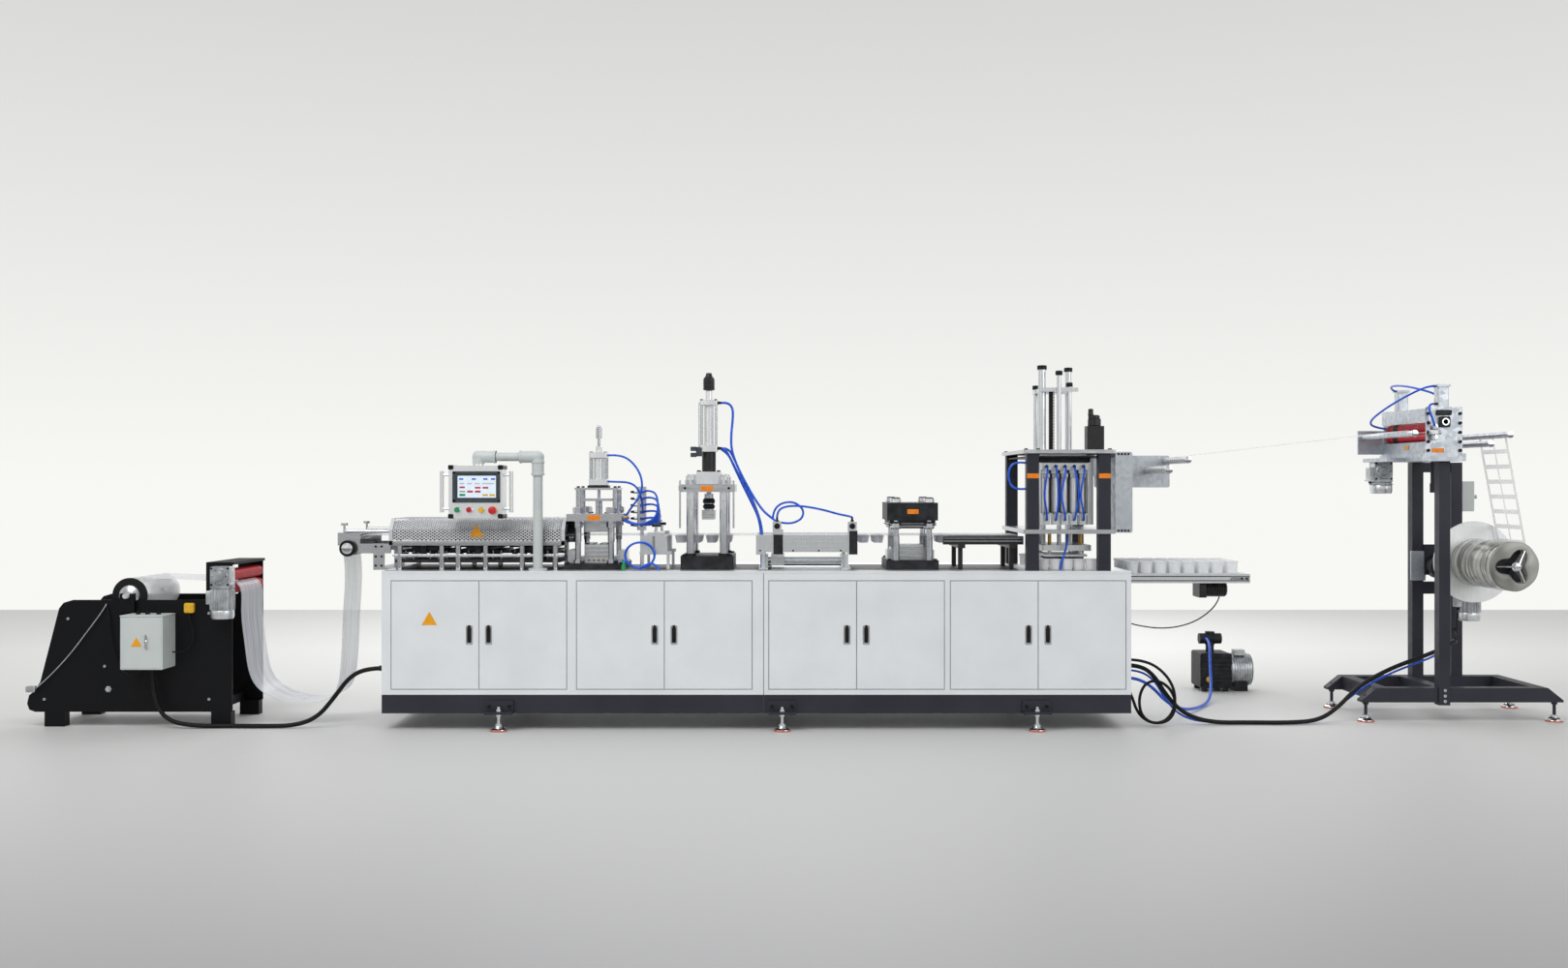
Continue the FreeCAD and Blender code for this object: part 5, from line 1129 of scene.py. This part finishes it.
# Turned profiles of a cup on the conveyor and of a lower one in the tower: radius and height from its foot
CUP = [(29, 0), (31, 3), (31, 8), (30, 10), (32.5, 40), (31.5, 44), (33, 60), (36, 62), (37, 66), (36, 69),
       (34, 70), (31, 60), (28, 6), (TIP, 5)]
LOW_CUP = [(29, 0.2), (31, 3), (30, 10), (33, 52), (36, 54), (36, 60), (33, 61), (28, 6), (TIP, 5)]


class LINE_OT_conveyor(bpy.types.Operator):
    """Belt, slots and motor of the conveyor, and the rows of cups"""
    bl_idname = "line.conveyor"
    bl_label = "Conveyor and cups"

    def execute(self, context):
        f = FINISH
        piece("belt_face", [slab((1898, 147, 833.2), (2545, 573, 834.6), 4, 0.5)], f.belt)
        slots = [slab((1884, 128.4, z), (2548, 130.4, z + 5), 1, 0.4, "x") for z in (796, 819)]
        piece("conveyor_slots", slots, f.bolt)
        rings = fins([2340 + 14 * k for k in range(8)], 39, 43, "x", CONVEYOR_MOTOR, 32)
        piece("conveyor_motor_fins", rings, f.bolt)
        body = [slab((2291, 188, 701), (2331.5, 332, 784), 6, 2, "x"),
                lathe([(39, 2331), (40, 2333), (40, 2449), (36, 2455), (TIP, 2456)],
                      on_axis("x", CONVEYOR_MOTOR), "x", 40)]
        piece("conveyor_motor_cover", body, f.black_alu)
        ends = [lathe([(9, 0), (9, -3), (6, -4), (TIP, -4)], (x, 130, 810), "y", 16) for x in (2505, 2532)]
        ends.append(slab((2440, 126, 800), (2546, 130.2, 821), 10, 1, "y"))
        piece("conveyor_end_plate", ends, f.chrome)
        rows = [lathe(CUP, (1925 + 78 * k, 205 + 78 * j, 833), "z", 20) for k in range(8) for j in range(5)]
        piece("cup_rows", rows, f.milky, stands_for=("cups",), sharp=50)
        inner = [lathe(LOW_CUP, (1425 + 66 * k, y, TABLE_Z), "z", 20) for k in range(5) for y in (155, 775)]
        piece("cups_in_tower", inner, f.milky, sharp=50)
        return {"FINISHED"}


class LINE_OT_pump(bpy.types.Operator):
    """Motor shell and fins, terminal box, tank ribs and sight glass of the vacuum pump"""
    bl_idname = "line.pump"
    bl_label = "Vacuum pump"

    def execute(self, context):
        f = FINISH
        x, y = PUMP_X, PUMP_Y
        shaft = (y, PUMP_Z)
        rings = fins([x + 36 + 16 * k for k in range(8)], 101, 106, "x", shaft, 48)
        piece("pump_motor_fins", rings, f.cast_alu)
        shell = lathe([(101, x + 30), (101.5, x + 165), (96, x + 171), (60, x + 171.8), (TIP, x + 171.8)],
                      on_axis("x", shaft), "x", 48)
        piece("pump_motor_shell", [shell], f.cast_alu)
        piece("pump_terminal_box", [slab((x + 60, y - 60, 226), (x + 130, y + 10, 262), 6, 2)], f.grey)
        ribs = [slab((x - 168, y - 117, 30 + 22 * k), (x + 26, y - 109, 38 + 22 * k), 3, 1, "x")
                for k in range(9)]
        piece("pump_tank_ribs", ribs, f.black_steel)
        sight = lathe([(16, y - 118), (18, y - 121), (12, y - 122), (TIP, y - 122)],
                      (x - 120, 0, 80), "y", 24)
        piece("pump_sight_glass", [sight], f.brass)
        return {"FINISHED"}


class LINE_OT_unwinder(bpy.types.Operator):
    """Box door, glands, bolts, roll end, film to the nip and motor of the unwinder"""
    bl_idname = "line.unwinder"
    bl_label = "Unwinder"

    def execute(self, context):
        f = FINISH
        low, high = span("unwinder_box")
        y = low[1]
        door = slab((low[0] + 8, y - 3, low[2] + 8), (high[0] - 8, y + 0.5, high[2] - 8), 4, 1.5, "y")
        roof = slab((low[0] - 3, y - 4, high[2] - 1), (high[0] + 3, high[1] - 1, high[2] + 5), 3, 1.5)
        piece("box_door", [door, roof], f.grey)
        latch = [slab((high[0] - 95, y - 9, 440), (high[0] - 77, y - 2.5, 520), 8, 2, "y"),
                 lathe([(9, 0), (9, -5), (6, -7), (TIP, -7)], (high[0] - 86, y - 8, 480), "y", 24)]
        piece("box_latch", latch, f.chrome)
        glands = [lathe([(12, 0), (12, 8), (8, 10), (8, 20), (TIP, 20)], (x, 60, high[2] + 5), "z", 16)
                  for x in (-3480, -3430, -3370)]
        glands += [lathe([(14, 0), (14, -10), (16, -12), (16, -22)], (-3419, 95, low[2]), "z", 20),
                   lathe([(13, 0), (13, -12), (15, -14), (15, -30)], (CABINET_X[0], 100, 325), "x", 20),
                   lathe([(13, 0), (13, 12), (15, 14), (15, 30)], (CABINET_X[1], 200, 330), "x", 20),
                   lathe([(11, 0), (11, 12), (12, 14), (12, 24)], (CABINET_X[1], 300, 250), "x", 20)]
        piece("cable_glands", glands, f.bolt)
        bolts = [socket_bolt(x, 150, z, 8, "y", -1) for x, z in ((-4030, 150), (-3900, 590), (-3130, 150),
                                                                 (-3130, 620), (-3700, 330))]
        bolts.append(lathe([(18, 0), (18, -6), (13, -10), (13, -16), (TIP, -16)], (-3680, 150, 205), "y", 6))
        piece("unwinder_bolts", bolts, f.zinc)
        shaft = on_axis("y", ROLL_SHAFT)
        disc = lathe([(ROLL_R_OUT, 168), (ROLL_R_OUT, 162), (ROLL_R_OUT - 8, 160), (40, 160), (36, 152),
                      (20, 150), (TIP, 150)], shaft, "y", 48)
        piece("roll_end_disc", [disc], f.black_rubber, "film_roll")
        core = lathe([(58, 159.5), (54, 152), (30, 142), (22, 138), (15, 137)], shaft, "y", 40)
        piece("roll_core", [core], f.cast_alu, "film_roll")
        # Section of the film at four places from the top of the roll to the nip, 0.8 mm thick
        web = [[(x, 184, z), (x, 616, z), (x, 616, z + 0.8), (x, 184, z + 0.8)]
               for x, z in ((-3556, 812.5), (-3420, 806), (-3200, 799), (-3068, 792))]
        piece("roll_web", [surface(np.array(web))], f.clear)
        gearmotor("unwinder_motor", -3035, 130, 826, 190)
        piece("unwinder_catch", [slab((-4122, 120, 190), (-4070, 150, 224), 8, 3, "y")], f.cast_alu)
        piece("unwinder_sensor", [slab((-3262, 128, 622), (-3206, 150, 676), 10, 3, "y")], f.yellow)
        return {"FINISHED"}


class LINE_OT_winder(bpy.types.Operator):
    """Plates, bearings, valve, bands, motors, bolts and feet of the winder"""
    bl_idname = "line.winder"
    bl_label = "Winder"

    def execute(self, context):
        f = FINISH
        bolts = front_bolts((3572, 3748), NEAR_PLATE_Y, (1512, 1560, 1612, 1664, 1716), 9)
        piece("winder_plate_bolts", bolts, f.bolt)
        bearing = [slab((3630, 234, 1640), (3690, 250, 1700), 8, 3, "y"),
                   slab((3616, 240, 1706), (3700, 250, 1736), 5, 2, "y")]
        piece("winder_bearing_block", bearing, f.black_steel)
        rings = [lathe([(14, 234), (14, 226), (20, 226), (20, 234)], (3660, 0, 1670), "y", 32)]
        rings += [lathe([(15, 250), (15, 243), (11, 241), (11, 236), (TIP, 236)], (NIP_X, 0, z), "y", 28)
                  for _, z in NIPS]
        piece("winder_bearing_rings", rings, f.chrome)
        valve = [slab((3570, 212, 1598), (3616, 248, 1626), 6, 3, "y"),
                 lathe([(10, 1570), (12, 1573), (12, 1594), (9, 1598)], (3590, 230, 0), "z", 16),
                 lathe([(9, 1626), (12, 1629), (12, 1644), (8, 1648)], (3600, 230, 0), "z", 16),
                 lathe([(8, 3616), (11, 3619), (11, 3632), (7, 3636)], (0, 230, 1611), "x", 16)]
        piece("winder_valve", valve, f.cast_alu)
        for name, z in NIPS:
            band = bar(700, 765, 28.8, "y", (NIP_X, z), 48)
            piece("winder_%s_band" % name, [band], f.black_rubber, "winder_nip_" + name)
        piece("reel_side_plate", [slab((3712, 822, 755), (3800, 833.8, 930), 6, 2, "y")], f.zinc)
        piece("reel_bearing_drum", [bar(745, 833, 72, "y", (3868, 842), 48, 3.0)], f.black_alu)
        guide = [bar(1280, 1452.8, 13, "z", (3747, 600)), bar(1276, 1330, 17, "z", (3747, 600), 24, 2.0)]
        piece("winder_guide_tube", guide, f.dark)
        feet("winder", WINDER_FOOT_XS, WINDER_FOOT_YS)
        gearmotor("reel_motor", 3960, 657, 879, 300)
        gearmotor("head_motor", 3510, 800, 1401, 90)
        posts = front_bolts((3681,), 290, (118, 148, 178), 9) + front_bolts((3812, 3900), 835, (820, 940), 7)
        piece("winder_post_bolts", posts, f.zinc)
        box = [slab((4023, 846, 1164), (4098, 889, 1342), 5, 2, "y"),
               lathe([(8, 0), (8, 10), (12, 12), (12, 20), (TIP, 20)], (4098, 866, 1250), "x", 20)]
        piece("switch_box_face", box, f.grey)
        plugs = [end_plug(16.2, 11, x, z) for x, z in ((3965, 1595), (3860, 1545), (3445, 1602))]
        piece("winder_bar_ends", plugs, f.chrome)
        ports = [(3658, 280, 1868, "x", -1), (3658, 830, 1868, "x", -1), (3628, 262, 1770, "x", -1)]
        piece("winder_ports", fittings(ports), f.bolt)
        return {"FINISHED"}


class LINE_OT_reel(bpy.types.Operator):
    """Reel of waste film: clamping vanes and hub, windings with a hollow core, a black sheet in the hollow
    as painted shade, and the disc behind
    """
    bl_idname = "line.reel"
    bl_label = "Reel"

    def execute(self, context):
        f = FINISH
        x, z = REEL
        hub = lathe([(26, 100), (26, 40), (20, 32), (20, 24), (12, 20), (TIP, 20)], (x, 0, z), "y", 32)
        vanes = [self.vane(math.radians(180 + 120 * k)) for k in range(3)]
        piece("reel_vanes", vanes + [hub], f.chrome, "winder_reel")
        theta = np.linspace(0, 2 * math.pi, 96, endpoint=False)
        hollow = 76 + 24 * np.cos(3 * (theta - math.pi))
        inner = [self.ring(theta, hollow + grow, y) for grow, y in ((-2, 118), (0, 66), (9, 61))]
        film = surface(np.concatenate([inner, self.windings(theta)]))
        piece("reel_windings", [film], f.wound, "winder_reel",
              stands_for=("winder_reel",), sharp=60)
        # A black sheet from 106 to 117 mm along the shaft, 4 mm inside the hollow: painted shade that
        # darkens the hollow core.
        plate = np.array([self.ring(theta, hollow - 4, y) for y in (106, 117)])
        piece("reel_core_plate", [surface(plate)], f.black_steel, "winder_reel")
        disc = lathe([(TIP, 551), (231, 551), (233, 549), (233, 547), (231, 545), (TIP, 545)],
                     (x, 0, z), "y", 96)
        piece("reel_disc", [disc, bar(551, 554.7, 18, "y", REEL, 32)], f.case, "winder_reel")
        return {"FINISHED"}

    def ring(self, theta, radius, y):
        """Closed ring round the reel's shaft, its radius a function of the angle."""
        x, z = REEL
        return np.stack([x + radius * np.cos(theta), y + 0 * radius, z + radius * np.sin(theta)], -1)

    def vane(self, angle):
        """Clamping vane: a low arched section that narrows and flattens from 12 to 98 mm out."""
        out = np.array([math.cos(angle), math.sin(angle)])
        side = np.array([-out[1], out[0]])
        u = np.linspace(0, 1, 8)[:, None]
        across = np.array([-1, -0.4, 0.4, 1]) * 11 * (1 - 0.5 * u)
        depth = np.array([0, 1, 1, 0]) * (44 - 26 * u)
        reach = 12 + u * 86
        return surface(np.stack([REEL[0] + out[0] * reach + side[0] * across, 66 - depth,
                                 REEL[1] + out[1] * reach + side[1] * across], -1))

    def windings(self, theta):
        """Outer skin of the film: radius 135 mm plus seven waves round it, whose phases turn along Y."""
        t = np.linspace(0, 1, 60)[:, None]
        rng = np.random.default_rng(7)
        wave = sum(rng.uniform(0.3, 1.0)
                   * np.sin((k + 2) * theta + rng.uniform(0, 6) + t * rng.uniform(4, 26)) for k in range(7))
        radius = 135.0 + 0.9 * wave
        radius[0] = 128
        return self.ring(theta, radius, 60 + t * 484)


# How far the coil moves forward from one point to the next, in millimetres
COIL_STEP = 1.3


def coil(centre, radius, high, turns, per_turn):
    """Points of a loose upright coil that lies against itself, its turns a little apart in Y."""
    points = []
    for k in range(int(turns * per_turn) + 1):
        a = 2 * math.pi * k / per_turn
        points.append((centre[0] + radius * math.sin(a), centre[1] - COIL_STEP * k,
                       centre[2] - high * math.cos(a)))
    return points


# Routes of the three cords that the CAD model has too, with the points that it has
UNWINDER_CABLE = [(-3419, 95, 331), (-3419, 95, 240), (-3390, 90, 110), (-3320, 88, 36), (-3180, 80, 14),
                  (-3000, 95, 13), (-2820, 85, 13), (-2640, 92, 14), (-2520, 95, 60), (-2430, 100, 170),
                  (-2350, 104, 280), (-2250, 100, 325), (-2157, 100, 325)]
WINDER_CABLE = [(1880, 200, 330), (1960, 200, 330), (2040, 195, 280), (2110, 185, 160), (2210, 190, 60),
                (2360, 200, 14), (2560, 215, 13), (2780, 200, 13), (2960, 240, 18), (3090, 300, 80),
                (3200, 345, 175), (3330, 400, 240), (3480, 470, 290), (3640, 560, 325), (3790, 640, 360),
                (3900, 710, 395), (3964, 770, 405), (3964, 834, 405)]
PUMP_HOSE = [(1880, 300, 250), (1960, 300, 250), (2060, 330, 200), (2170, 420, 90), (2300, 560, 30),
             (2440, 760, 12), (2560, 980, 12), (2640, 1200, 60), (2680, 1380, 210), (2720, 1520, 331),
             (2720, 1615.7, 331)]

# Air hoses of the stations: name, how much thicker than the usual radius in mm, and route
AIR_HOSES = [
    ("forming_hose_top", 0, [(-977, 355, 1486), (-930, 352, 1490), (-860, 350, 1470), (-800, 352, 1400),
                             (-780, 356, 1320), (-800, 360, 1250), (-850, 362, 1190), (-878, 362, 1142)]),
    ("forming_hose_low", 0, [(-977, 375, 1340), (-930, 372, 1338), (-860, 372, 1336), (-815, 372, 1310),
                             (-790, 380, 1250), (-790, 470, 1180), (-800, 544, 1166)]),
    ("punch_hose_top", 1, [(-341, 350, 1780), (-306, 350, 1783), (-276, 350, 1752), (-276, 350, 1690),
                           (-286, 346, 1600), (-284, 340, 1510), (-240, 330, 1400), (-170, 310, 1270),
                           (-110, 280, 1180), (-60, 240, 1140), (-34, 200, 1122), (-30, 175, 1112)]),
    ("punch_hose_mid", 1, [(-341, 350, 1526), (-316, 350, 1518), (-290, 352, 1470), (-240, 345, 1360),
                           (-180, 330, 1240), (-130, 320, 1140), (-110, 300, 1020), (-112, 250, 930),
                           (-112, 220, 868)]),
    ("punch_hose_back", 1, [(-341, 390, 1526), (-300, 390, 1530), (-262, 390, 1450), (-210, 392, 1330),
                            (-150, 395, 1200), (-112, 400, 1080), (-112, 420, 960), (-112, 430, 868)]),
    ("punch_hose_low", 1, [(-341, 370, 1520), (-306, 366, 1500), (-276, 366, 1440), (-226, 362, 1340),
                           (-164, 352, 1216), (-122, 336, 1110), (-116, 320, 990), (-114, 300, 930),
                           (-114, 290, 868)]),
    ("feed_branch", 0, [(-52, 232, 1132), (-50, 222, 1176), (-8, 204, 1222), (64, 192, 1230),
                        (118, 190, 1188), (112, 188, 1138), (64, 184, 1112), (14, 180, 1110),
                        (-20, 176, 1118)]),
    ("feed_hose", 0, [(-28, 162, 1144), (-26, 166, 1180), (20, 180, 1205), (110, 190, 1206),
                      (220, 190, 1186), (310, 182, 1160), (368, 170, 1150), (383, 162, 1144)]),
    ("tower_hose_left", 0, [(1321, 92, 1440), (1290, 92, 1446), (1240, 92, 1430), (1224, 92, 1370),
                            (1244, 92, 1310), (1290, 92, 1296), (1321, 92, 1300)]),
    ("tower_hose_down", 0, [(1560, 150, 1057), (1556, 140, 1020), (1545, 132, 960), (1520, 126, 900),
                            (1516, 126, 858)]),
    ("winder_hose_a", 0, [(3636, 280, 1868), (3600, 276, 1872), (3540, 300, 1850), (3480, 420, 1800),
                          (3430, 560, 1740), (3420, 700, 1690), (3470, 780, 1660), (3555, 800, 1650)]),
    ("winder_hose_b", 0, [(3606, 262, 1770), (3580, 246, 1768), (3566, 226, 1740), (3580, 216, 1690),
                          (3600, 222, 1640), (3612, 236, 1625)]),
    ("winder_hose_c", 0, [(3636, 830, 1868), (3600, 826, 1880), (3560, 740, 1900), (3560, 560, 1890),
                          (3590, 400, 1860), (3640, 320, 1830), (3652, 300, 1800), (3655, 310, 1753)]),
]

# How each of the five tower hoses leans aside and how far back it hangs
TOWER_LEANS = ((-26, 76), (8, 94), (-34, 76), (20, 94), (-30, 76))

# Line of air to the winder, beside its cable
WINDER_AIR = [(1880, 232, 300), (1960, 232, 300), (2050, 228, 250), (2110, 222, 140), (2200, 226, 40),
              (2360, 240, 6), (2560, 256, 6), (2780, 244, 6), (2960, 276, 12), (3090, 330, 70),
              (3200, 372, 142), (3330, 428, 206), (3480, 498, 256), (3640, 588, 292), (3790, 668, 328),
              (3900, 740, 372), (3940, 790, 388), (3950, 834, 392)]

# Spare loop of cable at the cabinet's end
SPARE_LOOP = [(1880, 150, 366), (1950, 150, 366), (2050, 146, 330), (2130, 140, 240), (2150, 138, 130),
              (2110, 140, 40), (2030, 146, 12), (1960, 152, 60), (1950, 160, 160), (1990, 168, 240),
              (2070, 172, 250), (2140, 172, 190), (2160, 172, 100), (2120, 172, 24), (2030, 172, 11),
              (1950, 172, 60), (1910, 172, 180), (1880, 172, 240)]

# Leads that hang: name, radius in mm, finish, stiffness and route
HANGING_LEADS = [
    ("conveyor_lead", 3.5, "cable", "medium",
     [(2420, 262, 706), (2418, 262, 686), (2380, 262, 630), (2300, 262, 570), (2200, 262, 535),
      (2090, 262, 525), (1980, 262, 540), (1905, 262, 560), (1880, 262, 566)]),
    ("unwinder_strap", 3, "zinc", "limp",
     [(-3690, 146, 670), (-3700, 132, 640), (-3790, 132, 520), (-3880, 132, 400), (-3980, 130, 290),
      (-4070, 132, 210), (-4086, 140, 200)]),
    ("unwinder_thin_lead", 3.5, "cable", "medium",
     [(-3690, 146, 664), (-3672, 134, 620), (-3664, 132, 520), (-3640, 132, 400), (-3600, 132, 310),
      (-3560, 132, 280), (-3510, 120, 290), (-3480, 100, 320), (-3478, 96, 332)]),
    ("unwinder_sensor_lead", 3.5, "cable", "medium",
     [(-3234, 134, 622), (-3230, 128, 590), (-3210, 126, 540), (-3208, 126, 470), (-3240, 120, 420),
      (-3290, 112, 410), (-3316, 110, 414)]),
    ("reel_motor_lead", 4, "cable", "medium",
     [(3894, 614, 600), (3894, 612, 560), (3900, 640, 480), (3930, 700, 440), (3960, 780, 450),
      (3975, 834, 470)]),
]


class LINE_OT_hoses(bpy.types.Operator):
    """Air hoses and cables, each on its own smooth line"""
    bl_idname = "line.hoses"
    bl_label = "Hoses and cables"

    def execute(self, context):
        air, cable = FINISH.hose, FINISH.cable
        r = round(settings().hose_radius / MM, 3)
        hose("unwinder_lead", UNWINDER_CABLE, 12, cable, ("unwinder_cable",))
        hose("winder_lead", WINDER_CABLE, 12, cable, ("winder_cable",))
        hose("pump_lead", PUMP_HOSE, 9, air, ("pump_hose",))
        hose("winder_air", WINDER_AIR, 6, air)
        hose("cabinet_spare_loop", SPARE_LOOP, 8, cable)
        for name, more, points in AIR_HOSES:
            hose(name, points, r + more, air)
        for name, radius, finish, stiffness, points in HANGING_LEADS:
            hose(name, points, radius, getattr(FINISH, finish))
        for k in range(5):
            z = 1276 - 38 * k
            out = 12 * k
            hose("forming_hose_%d" % (k + 1),
                 [(-806, 522, z), (-798, 500, z + 6), (-756 + out, 460, z + 14),
                  (-704 + out / 2, 400, z - 4), (-692 + out / 3, 330, 1170 - out),
                  (-720, 270, 1122 - out / 2), (-790, 230 + 20 * k, 1100), (-850, 215 + 30 * k, 1112),
                  (-878, 210 + 34 * k, 1128)], r, air)
        start = [(-878, 190, 905), (-856, 176, 900), (-824, 158, 876)]
        finish = [(-716, 104, 900), (-690, 100, 886), (-672, 98, 870), (-664, 98, 858)]
        hose("forming_coil", start + coil((-775, 140, 938), 82, 72, 2.0, 12) + finish, r, air)
        for k, (x, (lean, y)) in enumerate(zip(CYLINDER_XS, TOWER_LEANS), 1):
            hose("tower_hose_%d" % k,
                 [(x, 116, 1422), (x - 3, y + 6, 1402), (x + lean / 2, y, 1344), (x + lean, y, 1262),
                  (x + lean / 3, y + 6, 1180), (x, 122, 1130)], r - 0.5, air)
        return {"FINISHED"}


STEPS = (LINE_OT_stage, LINE_OT_hoses, LINE_OT_finish_nodes, LINE_OT_cabinet, LINE_OT_heater, LINE_OT_panel,
         LINE_OT_cylinders, LINE_OT_forming, LINE_OT_punch, LINE_OT_cutter, LINE_OT_plates, LINE_OT_feed,
         LINE_OT_tower, LINE_OT_conveyor, LINE_OT_pump, LINE_OT_unwinder, LINE_OT_winder, LINE_OT_reel)


class LINE_PT_panel(bpy.types.Panel):
    """Lists the steps that dress the line, and its settings"""
    bl_label = "Thermoforming line"
    bl_idname = "LINE_PT_panel"
    bl_space_type = "VIEW_3D"
    bl_region_type = "UI"
    bl_category = "Line"

    def draw(self, context):
        for step in STEPS:
            self.layout.operator(step.bl_idname)
        for key in LineSettings.__annotations__:
            self.layout.prop(context.scene.line_settings, key)


CLASSES = (LineSettings, LINE_PT_panel, *STEPS)


def register():
    """Adds the classes and the settings of the scene."""
    for each in CLASSES:
        bpy.utils.register_class(each)
    bpy.types.Scene.line_settings = bpy.props.PointerProperty(type=LineSettings)


def unregister():
    """Takes the settings and the classes away again."""
    del bpy.types.Scene.line_settings
    for each in reversed(CLASSES):
        bpy.utils.unregister_class(each)


def main():
    global FINISH
    register()
    FINISH = Finishes(settings())
    for step in STEPS:
        group, name = step.bl_idname.split(".")
        getattr(getattr(bpy.ops, group), name)()


if __name__ == "__main__":
    main()
